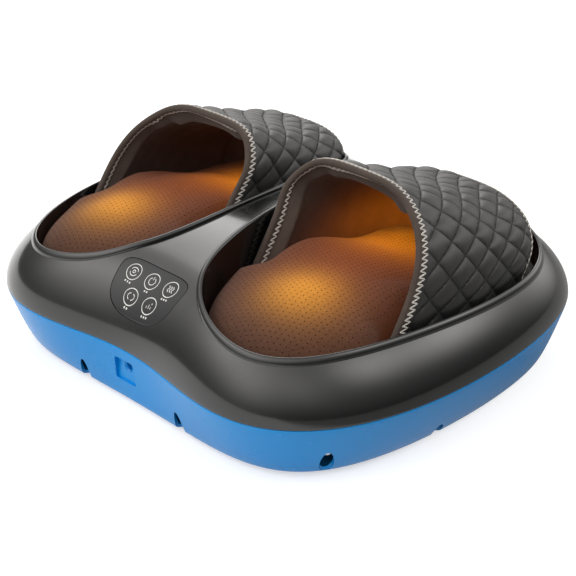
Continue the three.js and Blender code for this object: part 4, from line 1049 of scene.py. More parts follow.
class ScrewTree(NodeTree):
    """Stands a pan-head screw with a cross recess, head down, on each point."""

    def __init__(self, finish: Finish) -> None:
        """Builds the tree.

        Args:
            finish: The screws' finish.
        """
        super().__init__("screws")
        head, shank = self.number("Head radius", 0.0036), self.number("Shank radius", 0.0015)
        tall, reach = self.number("Head height", 0.003), self.number("Shank length", 0.035)
        dome = self.node("GeometryNodeMeshCylinder", {}, {"Vertices": 32, "Radius": head, "Depth": tall})
        bevel = self.node("GeometryNodeMeshCone", {}, {
            "Vertices": 32, "Radius Top": self.math("MULTIPLY", head, 0.72), "Radius Bottom": head,
            "Depth": self.math("MULTIPLY", tall, 0.3)})
        turned = self.node("GeometryNodeTransform", {}, {
            "Geometry": bevel.outputs["Mesh"], "Rotation": (math.pi, 0, 0),
            "Translation": self.vector(z=self.math("MULTIPLY", tall, -0.5))})
        body = self.node("GeometryNodeMeshCylinder", {}, {"Vertices": 20, "Radius": shank, "Depth": reach})
        raised = self.moved(body.outputs["Mesh"], self.math("MULTIPLY", reach, 0.5))
        long, wide = 3.6 * MM, 0.8 * MM
        bars = []
        for size in ((long, wide, long), (wide, long, long)):
            bar = self.node("GeometryNodeMeshCube", {}, {"Size": size})
            bars.append(self.moved(bar.outputs["Mesh"], self.math("MULTIPLY", tall, -0.9)))
        crossed = self.node("GeometryNodeMeshBoolean", {"operation": "DIFFERENCE"}, {
            0: self.union(dome.outputs[0], turned.outputs[0], raised), 1: self.union(*bars)})
        self.end(finish, {"Points": self.entry.outputs["Mesh"], "Instance": crossed.outputs[0]})

    def union(self, *parts: Socket) -> Socket:
        """Several geometries made one solid.

        Args:
            parts: The geometries.

        Returns:
            The solid.
        """
        whole = self.node("GeometryNodeMeshBoolean", {"operation": "UNION"})
        for part in parts:
            self.tree.links.new(part, whole.inputs[1])
        return whole.outputs[0]


# The case


@dataclass(frozen=True)
class CaseShape:
    """Outlines and crown of the case, as the frame has them."""

    half_width: float = 200 * MM
    half_depth: float = 166 * MM
    base_bottom: float = 3 * MM
    parting: float = 47.7 * MM
    crown_height: float = 117.7 * MM
    side_drop: float = 36 * MM
    end_drop: float = 15.2 * MM
    middle_dip: float = 10.5 * MM
    dip_spread: float = 60 * MM
    shoulder: float = 50 * MM
    wall: float = 2.6 * MM
    spine: float = 110 * MM
    bowl_share: float = 0.8
    well_x: float = 84.25 * MM
    well_y: float = 11 * MM
    well_half_width: float = 82.75 * MM
    well_half_depth: float = 142.5 * MM
    side_shares: tuple = (1.025, 0.03, 0.016, 0.007, -0.012)
    depth_shares: tuple = (1.109, 0.006, -0.156, -0.018, -0.044)
    sole_side_shares: tuple = (0.944, 0.0135, 0.039)
    sole_depth_shares: tuple = (1.0385, -0.032, -0.147)
    across_cos: tuple = (1, 0.116, -0.022)
    across_sin: tuple = (0, -0.009)
    along_cos: tuple = (0, 0.1225, 0, 0.0225)
    along_sin: tuple = (1, 0.1005, 0.0495)

    def plan(self, steps: int, sole: bool = False) -> Array:
        """The case's outline at the parting line, or at the sole.

        Args:
            steps: How many points.
            sole: Whether it is the sole's.

        Returns:
            Plan points, one per row.
        """
        angle = np.arange(steps) * TAU / steps
        sides = self.sole_side_shares if sole else self.side_shares
        depths = self.sole_depth_shares if sole else self.depth_shares
        x = self.half_width * harmonics(angle, (), sides)
        y = self.half_depth * harmonics(angle, depths, ())
        return np.column_stack([x, y - (y.min() + y.max()) / 2])

    def well(self, steps: int) -> Array:
        """The outline of the right foot's well.

        Args:
            steps: How many points.

        Returns:
            Plan points, one per row.
        """
        angle = np.arange(steps) * TAU / steps
        x = self.well_x + self.well_half_width * harmonics(angle, self.across_cos, self.across_sin)
        y = self.well_y + self.well_half_depth * harmonics(angle, self.along_cos, self.along_sin)
        return np.column_stack([x, y])

    def crown(self, points: Array, skin: float = 0.0) -> Array:
        """Height of the top shell over plan points.

        Args:
            points: Plan points, one per row.
            skin: How far under the outer face.

        Returns:
            One height for each point.
        """
        run = (distance_inside(self.plan(720), points) - skin) / (self.shoulder - skin)
        share = np.clip(run, 0, 1)
        side = self.side_drop * (points[:, 0] / self.half_width) ** 2
        dip = self.middle_dip * bell(points[:, 0], 0, self.dip_spread)
        end = (self.end_drop + dip) * ((points[:, 1] - self.well_y) / self.half_depth) ** 2
        rise = self.crown_height - side - end - skin - self.parting
        return self.parting + rise * np.sqrt(1 - (1 - share) ** 2)

    def wall_plan(self, height: float, steps: int, skin: float = 0.0) -> Array:
        """Outline of the base's wall at a height.

        Args:
            height: Height over the floor.
            steps: How many points.
            skin: How far inside the outer face.

        Returns:
            Plan points, one per row.
        """
        share = max(height - self.base_bottom, 0) / (self.parting - self.base_bottom)
        swell = share**self.bowl_share
        outline = self.plan(steps, True) * (1 - swell) + self.plan(steps) * swell
        return inset(outline, skin) if skin else outline

    def spine_line(self, steps: int) -> Array:
        """The line inside the case that the lofts end on."""
        angle = np.arange(steps) * TAU / steps
        return np.column_stack([self.spine * np.sin(angle), np.zeros(steps)])


@dataclass
class Case:
    """Base shell, top shell, rim rings, screws, feet and jack.

    The housing is the block behind the inlet pocket; housing_skin says how deep in the wall its
    front lies, and housing_step sets its cut apart from the wall's own, so that no two faces meet.
    """

    shape: CaseShape = field(default_factory=CaseShape)
    steps: int = 320
    shoulder_steps: int = 26
    spine_steps: int = 18
    plan_points: int = 44
    seat_gap: float = 0.3 * MM
    edge_round: float = 0.9 * MM
    tongue_gap: float = 1.5 * MM
    tongue_thickness: float = 1.6 * MM
    tongue_height: float = 4.5 * MM
    tongue_root: float = 6 * MM
    screw_pairs: tuple = ((0.1136, 17), (0.267, 18), (0.342, 13), (0.4575, 11))
    screw_well_radius: float = 5 * MM
    screw_well_top: float = 25 * MM
    screw_head: tuple = (3.6 * MM, 3 * MM)
    screw_shank: tuple = (1.5 * MM, 36.5 * MM)
    foot_places: tuple = ((-118, -112), (-118, 112), (118, -112), (118, 112))
    foot_radius: float = 11 * MM
    foot_gap: float = 0.4 * MM
    foot_recess: float = 1.5 * MM
    vent_count: int = 5
    vent_pitch: float = 7 * MM
    vent_size: tuple = (3 * MM, 36 * MM)
    vent_x: float = 97 * MM
    vent_y: float = -32.5 * MM
    below: float = -4 * MM
    pocket_x: float = -4.3 * MM
    pocket_floor: float = -143 * MM
    pocket_wall: float = 2.5 * MM
    pocket_face: float = -150.5 * MM
    pocket_round: float = 2.2
    housing_skin: float = 0.95
    housing_step: float = 0.15 * MM
    housing_points: int = 12
    pocket_corners: tuple = ((-10.7, 19.7), (10.7, 19.7), (9.52, 38.7), (-9.52, 38.7))
    jack_x: float = -2.8 * MM
    jack_z: float = 32.5 * MM
    jack_hole: tuple = (3.4 * MM, 4.6 * MM, 4.9 * MM)
    collar_wall: float = 2.5 * MM
    collar_bottom: float = 64 * MM
    shelf_width: float = 20 * MM
    shelf_thickness: float = 2.5 * MM
    shelf_round: float = 2 * MM
    bead_width: float = 4.4 * MM
    bead_height: float = 2.8 * MM
    bead_gap: float = 0.15 * MM

    def build(self) -> None:
        """Builds every piece of the case."""
        place(self.base_shell(), "case", "base_plastic", Look.BLUE, ("base_shell",))
        place(self.top_shell(), "case", "top_gloss", Look.BLACK, ("top_shell",))
        place_pair(self.rim_ring(), "well_rim", "top_gloss", Look.BLACK, ("rim_ring",))
        self.screws()
        self.feet()
        self.jack()

    def screw_places(self) -> Array:
        """Plan points of the eight case screws, in the frame's order.

        Returns:
            The points, one per row.
        """
        chosen = []
        for share, depth in self.screw_pairs:
            line = inset(self.shape.plan(self.plan_points), depth * MM)
            for turn in (share, 1 - share):
                step = int(turn * self.plan_points)
                past = turn * self.plan_points - step
                chosen.append(line[step] * (1 - past) + line[(step + 1) % self.plan_points] * past)
        return np.array(chosen)

    def base_shell(self) -> Piece:
        """The blue bowl with its tongue, wells, recesses, vents and inlet pocket.

        Returns:
            The base.
        """
        shape, n = self.shape, self.steps
        top = shape.parting - self.seat_gap
        floor = shape.base_bottom + shape.wall
        spine = shape.spine_line(n)
        sole, case = shape.plan(n, True), shape.plan(n)
        rings = [ring(spine, shape.base_bottom)]
        rings += [ring(spine * (1 - share) + inset(sole, shape.wall) * share, shape.base_bottom)
                  for share in (0.4, 0.8, 1)]
        for turn in np.linspace(0.25, 1, 4) * math.pi / 2:
            height = shape.base_bottom + shape.wall * (1 - math.cos(turn))
            edge = inset(sole, shape.wall * (1 - math.sin(turn)))
            rings.append(ring(edge + shape.wall_plan(height, n) - sole, height))
        for height in np.linspace(floor, top - self.edge_round, 15)[1:]:
            rings.append(ring(shape.wall_plan(height, n), height))
        for turn in np.radians((30, 60, 90)):
            back = self.edge_round * (1 - math.cos(turn))
            height = top - self.edge_round * (1 - math.sin(turn))
            rings.append(ring(shape.wall_plan(height, n, back), height))
        outside = shape.wall + self.tongue_gap
        inside = outside + self.tongue_thickness
        for depth, height in ((outside, top), (outside, top + self.tongue_height),
                              (inside, top + self.tongue_height), (inside, top)):
            rings.append(ring(inset(case, depth), height))
        for height in np.linspace(top - self.tongue_root, floor, 8):
            rings.append(ring(shape.wall_plan(height, n, shape.wall), height))
        rings.append(ring(spine, floor))
        cutters = [join("cutters", self.base_cutters()), self.pocket(self.pocket_face)]
        bowl = cut(loft("base_bowl", rings), cutters)
        return join("base", [bowl, cut(self.housing(), self.housing_cutters())])

    def housing(self) -> Piece:
        """The walls behind the inlet pocket, let into the bowl's front wall.

        Returns:
            A closed block.
        """
        corners = np.array(self.pocket_corners) * MM
        half = corners[:, 0].max() + self.pocket_wall
        low, high = corners[:, 1].min() - self.pocket_wall, corners[:, 1].max() + self.pocket_wall
        n = self.housing_points
        share, ones = np.linspace(-1, 1, n + 1)[:-1], np.ones(n)
        up = (share + 1) / 2
        x = half * np.concatenate([share, ones, -share, -ones])
        z = low + (high - low) * np.concatenate([np.zeros(n), up, ones, 1 - up])
        front = []
        for here, height in zip(x + self.pocket_x, z):
            wall = self.shape.wall_plan(height, self.steps, self.shape.wall * self.housing_skin)
            near = wall[(np.abs(wall[:, 0]) < 40 * MM) & (wall[:, 1] < 0)]
            near = near[np.argsort(near[:, 0])]
            front.append(np.interp(here, near[:, 0], near[:, 1]))

        def stand(reach: float, depth: Depth) -> Array:
            """The block's outline, drawn towards its middle, at a depth or at one for each point."""
            lift, along = (low + high) / 2 * (1 - reach), np.broadcast_to(depth, 4 * n)
            return np.column_stack([x * reach + self.pocket_x, along, z * reach + lift])

        back = self.pocket_floor + self.pocket_wall
        ends = [stand(0, back), stand(1, back), stand(1, front), stand(0, np.mean(front))]
        return loft("inlet_housing", ends)

    def base_cutters(self) -> list:
        """Closed bodies for the screw wells, foot recesses and vents.

        Returns:
            The bodies.
        """
        low = self.below
        r, top = self.screw_well_radius, self.screw_well_top
        profile = [(0, low), (r, low), (r, top - MM), (r - MM, top), (0, top)]
        cutters = [lathe("well", profile, (x, y, 0), 40) for x, y in self.screw_places()]
        r, top = self.foot_radius + self.foot_gap, self.shape.base_bottom + self.foot_recess
        profile = [(0, low), (r, low), (r, top), (0, top)]
        cutters += [lathe("recess", profile, (x * MM, y * MM, 0), 48) for x, y in self.foot_places]
        for side in (1, -1):
            for step in range(self.vent_count):
                x = side * self.vent_x + (step - (self.vent_count - 1) / 2) * self.vent_pitch
                cutters.append(self.vent_slot(x))
        return cutters

    def housing_cutters(self) -> list:
        """Closed bodies for the inlet pocket and the jack's hole in the housing.

        Returns:
            The bodies.
        """
        face = self.pocket_floor - self.pocket_face
        bore, mouth, seat = self.jack_hole
        profile = [(0, -8 * MM), (seat, -8 * MM), (seat, 0.3 * MM), (bore, 0.3 * MM), (bore, face - 1.2 * MM),
                   (mouth, face + 0.2 * MM), (0, face + 0.2 * MM)]
        hole = lathe("jack_hole", profile, (self.jack_x, self.pocket_floor, self.jack_z), 40, "Y")
        return [self.pocket(self.pocket_face - self.housing_step), hole]

    def vent_slot(self, x: float) -> Piece:
        """A slot with round ends through the floor.

        Args:
            x: X of its middle.

        Returns:
            The body to cut with.
        """
        half, reach = self.vent_size[0] / 2, self.vent_size[1] / 2
        outline = []
        for end, start in ((1, 0), (-1, math.pi)):
            for turn in start + math.pi * np.arange(9) / 8:
                y = self.vent_y + end * (reach - half)
                outline.append((x + half * math.cos(turn), y + half * math.sin(turn)))
        top = self.shape.base_bottom + self.shape.wall + 2 * MM
        return prism("vent", np.array(outline), self.below, top)

    def pocket(self, face: float) -> Piece:
        """The keystone pocket round the inlet, with rounded corners, down to a face.

        Args:
            face: Y of the pocket's back.

        Returns:
            The body to cut with.
        """
        corners = np.array(self.pocket_corners, float)
        outline = []
        for here, corner in enumerate(corners):
            leave, meet = (corner + (other - corner) / np.linalg.norm(other - corner) * self.pocket_round
                           for other in (corners[here - 1], corners[(here + 1) % 4]))
            for t in np.arange(7) / 6:
                outline.append((1 - t) ** 2 * leave + 2 * t * (1 - t) * corner + t**2 * meet)
        plan = np.array(outline) * MM + np.array([self.pocket_x, 0])
        return prism("pocket", plan, face, -self.shape.half_depth - 5 * MM, "Y")

    def top_shell(self) -> Piece:
        """The crowned shell with its two well openings and the panel's seat.

        Returns:
            The top shell.
        """
        rings = self.crown_rings(self.shape.wall)[::-1] + self.crown_rings(0.0)
        shell = loft("top_cover", rings)
        hole = inset(self.shape.well(self.steps), -self.collar_wall - 0.5 * MM)
        well = prism("well_cut", hole, 20 * MM, 140 * MM)
        other = mirrored(well, "well_cut_left")
        return cut(shell, [well, other, ControlPanel().seat_cutter(self.shape)])

    def crown_rings(self, skin: float) -> list:
        """Rings of the shell's outer or inner face, from the parting line to the spine.

        Args:
            skin: How far under the outer face.

        Returns:
            The rings, lowest first.
        """
        shape, n = self.shape, self.steps
        edge = inset(shape.plan(n), skin) if skin else shape.plan(n)
        spine = shape.spine_line(n)
        towards = spine - edge
        towards /= np.linalg.norm(towards, axis=1, keepdims=True)
        rings = []
        if skin:
            rings.append(ring(edge, shape.parting))
        else:
            for turn in np.radians((0, 30, 60, 90)):
                back, rise = (self.edge_round * (1 - part) for part in (math.sin(turn), math.cos(turn)))
                rings.append(ring(inset(edge, back), shape.parting + rise))
        for step in range(1, self.shoulder_steps + 1):
            run = (shape.shoulder - skin) * (1 - math.cos(math.pi / 2 * step / self.shoulder_steps))
            drawn = edge + towards * run
            height = shape.crown(drawn, skin)
            rings.append(ring(drawn, np.maximum(height, shape.parting + self.edge_round)))
        last = rings[-1][:, :2]
        for share in np.linspace(0, 1, self.spine_steps + 1)[1:]:
            drawn = last * (1 - share) + spine * share
            rings.append(ring(drawn, shape.crown(drawn, skin)))
        return rings

    def rim_ring(self) -> Piece:
        """Bead, collar and shelf of the right well, swept as one closed profile.

        Returns:
            The right rim ring.
        """
        shape = self.shape
        well = shape.well(360)

        def over(distance: float, rise: float) -> Array:
            """A ring outside the well's edge, over the crown."""
            plan = inset(well, -distance)
            return ring(plan, shape.crown(plan) + rise)

        def level(depth: float, height: float) -> Array:
            """A ring inside the well's edge at one height."""
            return ring(inset(well, depth), height)

        shelf = self.collar_bottom + self.shelf_thickness
        rings = [level(self.shelf_width, self.collar_bottom), level(self.shelf_width, shelf)]
        for share in (1, 0.6, 0.3, 0):
            rise = self.shelf_round * (1 - math.sqrt(1 - (1 - share) ** 2))
            rings.append(level(share * self.shelf_round, shelf + rise))
        half = self.bead_width / 2
        low = self.bead_gap
        for turn in np.linspace(0, math.pi, 17):
            rise = low + (self.bead_height - low) * math.sin(turn) ** 0.75
            rings.append(over(half * (1 - math.cos(turn)), rise if 0 < turn < math.pi - 0.01 else low))
        rings += [over(self.collar_wall, low), level(-self.collar_wall, self.collar_bottom)]
        return loft("rim", rings, closes=True, sharp_degrees=40)

    def screws(self) -> None:
        """Eight screws, heads down in their wells."""
        (head, tall), (shank, reach) = self.screw_head, self.screw_shank
        seats = ring(self.screw_places(), self.screw_well_top - self.seat_gap - tall / 2)
        screws = ScrewTree(Look.STEEL).run("case_screws", point_cloud(seats, {}), {
            "Head radius": head, "Shank radius": shank, "Head height": tall, "Shank length": reach})
        tidy(screws, 30, recalculate=False)
        place(screws, "case", "steel", Look.STEEL, tuple(f"case_screw_{i}" for i in range(1, 9)))

    def feet(self) -> None:
        """Four rubber feet with a ring groove."""
        r = self.foot_radius
        top = self.shape.base_bottom + self.foot_recess - self.seat_gap
        profile = [(0, 0.3 * MM), (r * 0.45, 0.3 * MM), (r * 0.5, 0), (r - 1.5 * MM, 0),
                   (r - 0.4 * MM, 0.4 * MM), (r, 1.5 * MM), (r, top), (0, top)]
        parts = [lathe("foot", profile, (x * MM, y * MM, 0), 48) for x, y in self.foot_places]
        place(join("rubber_feet", parts), "case", "foot_rubber", Look.RUBBER,
              tuple(f"rubber_foot_{i}" for i in range(1, 5)))

    def jack(self) -> None:
        """The barrel jack in its pocket."""
        barrel, bore, pin, deep, long = (v * MM for v in (4.5, 2.8, 1, 9, 13))
        edge = 0.3 * MM
        profile = [(0, -long), (barrel, -long), (barrel, -edge), (barrel - edge, 0), (bore + edge, 0),
                   (bore, -edge), (bore, -deep), (pin, -deep), (pin, -1.5 * MM), (pin * 0.5, -MM), (0, -MM)]
        made = lathe("inlet_jack", profile, (self.jack_x, self.pocket_floor, self.jack_z), 48, "Y")
        place(made, "case", "inner_plastic", Look.SATIN, ("dc_jack",))


class Sign(Enum):
    """Plain signs of the touch panel."""

    CYCLE = "cycle"
    POWER = "power"
    WARMTH = "warmth"
    AIR = "air"
    PACE = "pace"


@dataclass
class ControlPanel:
    """The touch overlay with its ring signs and level dots."""

    centre_y: float = -133.5 * MM
    half_width: float = 32 * MM
    half_depth: float = 14.7 * MM
    thickness: float = 1.2 * MM
    sink: float = 0.1 * MM
    squareness: float = 0.54
    taper: float = 0.095
    line: float = 0.45 * MM
    print_height: float = 0.05 * MM
    print_sink: float = 0.01 * MM
    ring_radius: float = 6.3 * MM
    dot_radius: float = 0.4
    dot_pitch: float = 2.3
    dot_drop: float = 8.3
    places: tuple = ((Sign.CYCLE, -19.3, -128, 3), (Sign.POWER, 0, -128, 2), (Sign.WARMTH, 19.3, -128, 3),
                     (Sign.AIR, -9.7, -140.1, 2), (Sign.PACE, 9.7, -140.1, 3))

    def outline(self, growth: float, count: int = 120) -> Array:
        """The panel's rounded outline, grown by a distance.

        Args:
            growth: The distance.
            count: How many points.

        Returns:
            Plan points, one per row.
        """
        angle = np.arange(count) * TAU / count
        across, along = (np.sign(part) * np.abs(part) ** self.squareness
                         for part in (np.cos(angle), np.sin(angle)))
        x = (self.half_width + growth) * across * (1 + self.taper * along)
        return np.column_stack([x, self.centre_y + (self.half_depth + growth) * along])

    def plate(self, name: str, shape: CaseShape, growth: float, bottom: float, top: float) -> Piece:
        """A plate that follows the crown between two heights over it.

        Args:
            name: Name of the object.
            shape: The case that it follows.
            growth: Added round the outline.
            bottom: The lower height.
            top: The upper height.

        Returns:
            The closed plate.
        """
        outline = self.outline(growth)
        middle = np.array([0, self.centre_y])
        drawn = [middle + (outline - middle) * share for share in (0, 0.25, 0.5, 0.75, 0.93, 1)]
        rings = [ring(plan, shape.crown(plan) + bottom) for plan in drawn]
        rings += [ring(plan, shape.crown(plan) + top) for plan in drawn[::-1]]
        return loft(name, rings)

    def seat_cutter(self, shape: CaseShape) -> Piece:
        """The body that cuts the panel's seat out of the top shell."""
        floor = -self.sink - self.thickness - 0.3 * MM
        return self.plate("panel_seat", shape, 0.5 * MM, floor, 8 * MM)

    def build(self, shape: CaseShape) -> None:
        """Builds the overlay and its print.

        Args:
            shape: The case that it follows.
        """
        overlay = self.plate("touch_overlay", shape, 0, -self.sink - self.thickness, -self.sink)
        place(overlay, "case", "panel", Look.PANEL, ("control_panel",))
        lines = []
        for sign, x, y, dots in self.places:
            centre = np.array([x, y]) * MM
            low, high = shape.crown(centre + np.array([[0, -MM], [0, MM]]))
            scale = np.array([1, 1 / math.hypot(1, (high - low) / (2 * MM))]) * MM
            lines += [(centre + stroke * scale, closed) for stroke, closed in self.strokes(sign)]
            for dot in range(dots):
                at = np.array([(dot - (dots - 1) / 2) * self.dot_pitch, -self.dot_drop])
                lines.append((centre + (at + self.circle(self.dot_radius)) * scale, True))
        parts = [self.ribbon(points, closed, shape) for points, closed in lines]
        place(tidy(join("panel_signs", parts), 30), "case", "panel", Look.INK)

    @staticmethod
    def circle(radius: float, start: float = 0, end: float = 360, count: int = 40) -> Array:
        """Points of an arc, in millimetres; a full turn leaves its last point out."""
        angle = np.radians(np.linspace(start, end, count, endpoint=end - start < 360))
        return radius * np.column_stack([np.cos(angle), np.sin(angle)])

    def strokes(self, sign: Sign) -> list:
        """The lines of a sign in millimetres about its middle, each with whether it closes.

        Args:
            sign: The sign.

        Returns:
            Pairs of points and a flag.
        """
        lines = [(self.circle(self.ring_radius / MM, count=72), True)]
        wave = np.linspace(-2.6, 2.6, 24)
        match sign:
            case Sign.CYCLE:
                lines += [(self.circle(3.3, start, start + 140), False) for start in (20, 200)]
                lines.append((self.circle(1.1), True))
            case Sign.POWER:
                lines += [(self.circle(2.9, 120, 420), False), (np.array([[0, 1.0], [0, 3.7]]), False)]
            case Sign.WARMTH:
                for x in (-2, 0, 2):
                    lines.append((np.column_stack([x + 0.6 * np.sin(wave * 1.9), wave]), False))
            case Sign.AIR:
                for start, shift in ((100, -0.7), (-80, 0.7)):
                    lines.append((self.circle(2.4, start, start + 160) + [shift, 0], False))
            case Sign.PACE:
                for x, top in ((-2, -0.6), (0, 0.9), (2, 2.6)):
                    lines.append((np.array([[x, -2.2], [x, top]]), False))
        return lines

    def ribbon(self, points: Array, closed: bool, shape: CaseShape) -> Piece:
        """A thin printed line along points on the overlay.

        Args:
            points: Plan points in metres.
            closed: Whether the line joins its start.
            shape: The case that the overlay follows.

        Returns:
            A closed, very thin body.
        """
        if closed:
            along = np.roll(points, -1, 0) - np.roll(points, 1, 0)
        else:
            along = np.gradient(points, axis=0)
        along /= np.linalg.norm(along, axis=1, keepdims=True)
        side = np.column_stack([-along[:, 1], along[:, 0]]) * self.line / 2
        rows = []
        for offset, lift in ((side, 0.0), (side, self.print_height),
                             (-side, self.print_height), (-side, 0.0)):
            plan = points + offset
            rows.append(ring(plan, shape.crown(plan) - self.sink - self.print_sink + lift))
        count = len(points)
        spans = count if closed else count - 1
        faces = []
        for step in range(spans):
            after = (step + 1) % count
            for edge in range(4):
                a, b = edge * count, (edge + 1) % 4 * count
                faces.append((a + step, a + after, b + after, b + step))
        if not closed:
            faces += [tuple(k * count for k in range(4)), tuple(k * count + count - 1 for k in range(4))]
        return new_object("line", np.concatenate(rows), faces)


# Foot pads


def inflate(piece: Piece, pinned: Array, pressure: float, cap: float, frames: int = 20) -> None:
    """Swells a closed skin with the cloth solver and keeps the result.

    Args:
        piece: The closed mesh.
        pinned: One weight for each vertex; 1 holds it in place.
        pressure: Pressure inside.
        cap: The furthest that a point may move, in metres.
        frames: Steps of the simulation.
    """
    before = vertex_places(piece.data)
    hold = piece.vertex_groups.new(name="hold")
    for index, weight in enumerate(pinned):
        if weight > 0:
            hold.add([index], float(weight), "REPLACE")
    cloth = piece.modifiers.new("swell", "CLOTH")
    settings = cloth.settings
    settings.quality = 5
    settings.mass = 0.15
    settings.tension_stiffness = settings.compression_stiffness = 12
    settings.bending_stiffness = 0.3
    settings.use_pressure = True
    settings.uniform_pressure_force = pressure
    settings.effector_weights.gravity = 0
    settings.vertex_group_mass = "hold"
    cloth.point_cache.frame_start, cloth.point_cache.frame_end = 1, frames
    for step in range(1, frames + 1):
        bpy.context.scene.frame_set(step)
    swollen = evaluated_mesh(piece)
    moved = vertex_places(swollen) - before
    length = np.linalg.norm(moved, axis=1, keepdims=True)
    moved *= np.minimum(1, cap / np.maximum(length, 1e-9))
    piece.modifiers.clear()
    piece.vertex_groups.clear()
    piece.data.vertices.foreach_set("co", (before + moved).ravel())
    piece.data.update()
    bpy.data.meshes.remove(swollen)
    bpy.context.scene.frame_set(1)


@dataclass
class FootPad:
    """The padded, perforated skin over the heads of one foot."""

    shape: CaseShape
    shelf_seat: float = 66.8 * MM
    edge_height: float = 72 * MM
    crown_height: float = 94 * MM
    side_tilt: float = 5 * MM
    heel_round: float = 24 * MM
    toe_round: float = 15 * MM
    thickness: float = 8 * MM
    heel_inset: float = 2 * MM
    toe_inset: float = 19.5 * MM
    step: tuple = (-73 * MM, -56 * MM)
    round_step: tuple = (-90 * MM, -50 * MM)
    bulge_heights: tuple = (9.5 * MM, 3 * MM)
    bulge_spread: float = 22 * math.sqrt(2) * MM
    head_x: float = 97 * MM
    head_y: tuple = (-86 * MM, 21 * MM)
    instep_rise: float = 12 * MM
    instep_y: float = -32 * MM
    instep_spread: float = 36 * math.sqrt(2) * MM
    toe_drop: float = 11 * MM
    toe_step: tuple = (-25 * MM, 55 * MM)
    top_sink: float = 1.2 * MM
    voxel: float = 4 * MM
    pressure: float = 4.0
    swell_cap: float = 4 * MM
    hole_pitch: float = 3.8 * MM
    hole_radius: float = 0.5 * MM
    hole_middle: tuple = (92 * MM, -10 * MM)
    hole_field: tuple = (150 * MM, 270 * MM)
    steps: int = 180

    def plan(self) -> Array:
        """The pad's outline, close to the collar at the heel and inside the arch at the toes.

        Returns:
            Plan points, one per row.
        """
        well = self.shape.well(self.steps)
        share = smoothstep(*self.step, well[:, 1])
        return inset(well, self.heel_inset + (self.toe_inset - self.heel_inset) * share)

    def height(self, points: Array, plan: Array, skin: float = 0.0) -> Array:
        """Height of the pad over plan points, or of the face a skin under it.

        Args:
            points: Plan points, one per row.
            plan: The pad's outline.
            skin: How far under the outer face.

        Returns:
            One height for each point.
        """
        x, y = points.T
        edge = self.heel_round + (self.toe_round - self.heel_round) * smoothstep(*self.round_step, y)
        share = np.clip((distance_inside(plan, points) - skin) / (edge - skin), 0, 1)
        tilt = self.side_tilt * (x - self.shape.well_x) / self.shape.well_half_width
        rise = self.crown_height - tilt - skin - self.edge_height
        for head_y, high in zip(self.head_y, self.bulge_heights):
            rise = rise + high * bell(np.hypot(x - self.head_x, y - head_y), 0, self.bulge_spread)
        rise = rise - self.toe_drop * smoothstep(*self.toe_step, y)
        rise = rise + self.instep_rise * bell(y, self.instep_y, self.instep_spread)
        return self.edge_height + rise * np.sqrt(1 - (1 - share) ** 2)

    def form(self) -> Piece:
        """The pad's skin before it is swollen.

        Returns:
            A closed skin.
        """
        plan = self.plan()
        inner = inset(plan, self.thickness)
        middle = np.array([self.head_x, np.mean(self.head_y)])
        rings = [ring(plan, self.shelf_seat)]
        for share in 1 - np.linspace(0, 1, 34) ** 1.5:
            drawn = middle + (plan - middle) * share
            rings.append(ring(drawn, self.height(drawn, plan) - self.top_sink * (share < 1)))
        for share in np.linspace(0, 1, 20)[:-1]:
            drawn = middle + (inner - middle) * share
            rings.append(ring(drawn, self.height(drawn, plan, self.thickness)))
        rings += [ring(inner, self.edge_height), ring(inner, self.shelf_seat)]
        return loft("pad_form", rings, closes=True, sharp_degrees=60)

    def build(self) -> None:
        """Swells the pad, drops its perforations and places both sides."""
        pad = self.form()
        remesh = pad.modifiers.new("even", "REMESH")
        remesh.mode, remesh.voxel_size = "VOXEL", self.voxel
        apply_modifiers(pad)
        points = vertex_places(pad.data)
        lowest = self.height(points[:, :2], self.plan(), self.thickness) + 3 * MM
        pinned = ((points[:, 2] < lowest) | (points[:, 2] < self.edge_height)).astype(float)
        inflate(pad, pinned, self.pressure, self.swell_cap)
        subdivided(pad)
        tidy(pad, 60, recalculate=False)
        (x, y), (width, depth) = self.hole_middle, self.hole_field
        pits = PerforationTree(Look.PIT).run("pits", pad.data.copy(), {
            "Pitch": self.hole_pitch, "Hole radius": self.hole_radius, "Middle X": x, "Middle Y": y,
            "Width": width, "Depth": depth})
        place_pair(pits, "pad_perforations", "pad_fabric", Look.PIT)
        place_pair(pad, "foot_cushion", "pad_fabric", Look.KNIT, ("foot_pad",), fill=0.7)


# Toe arches


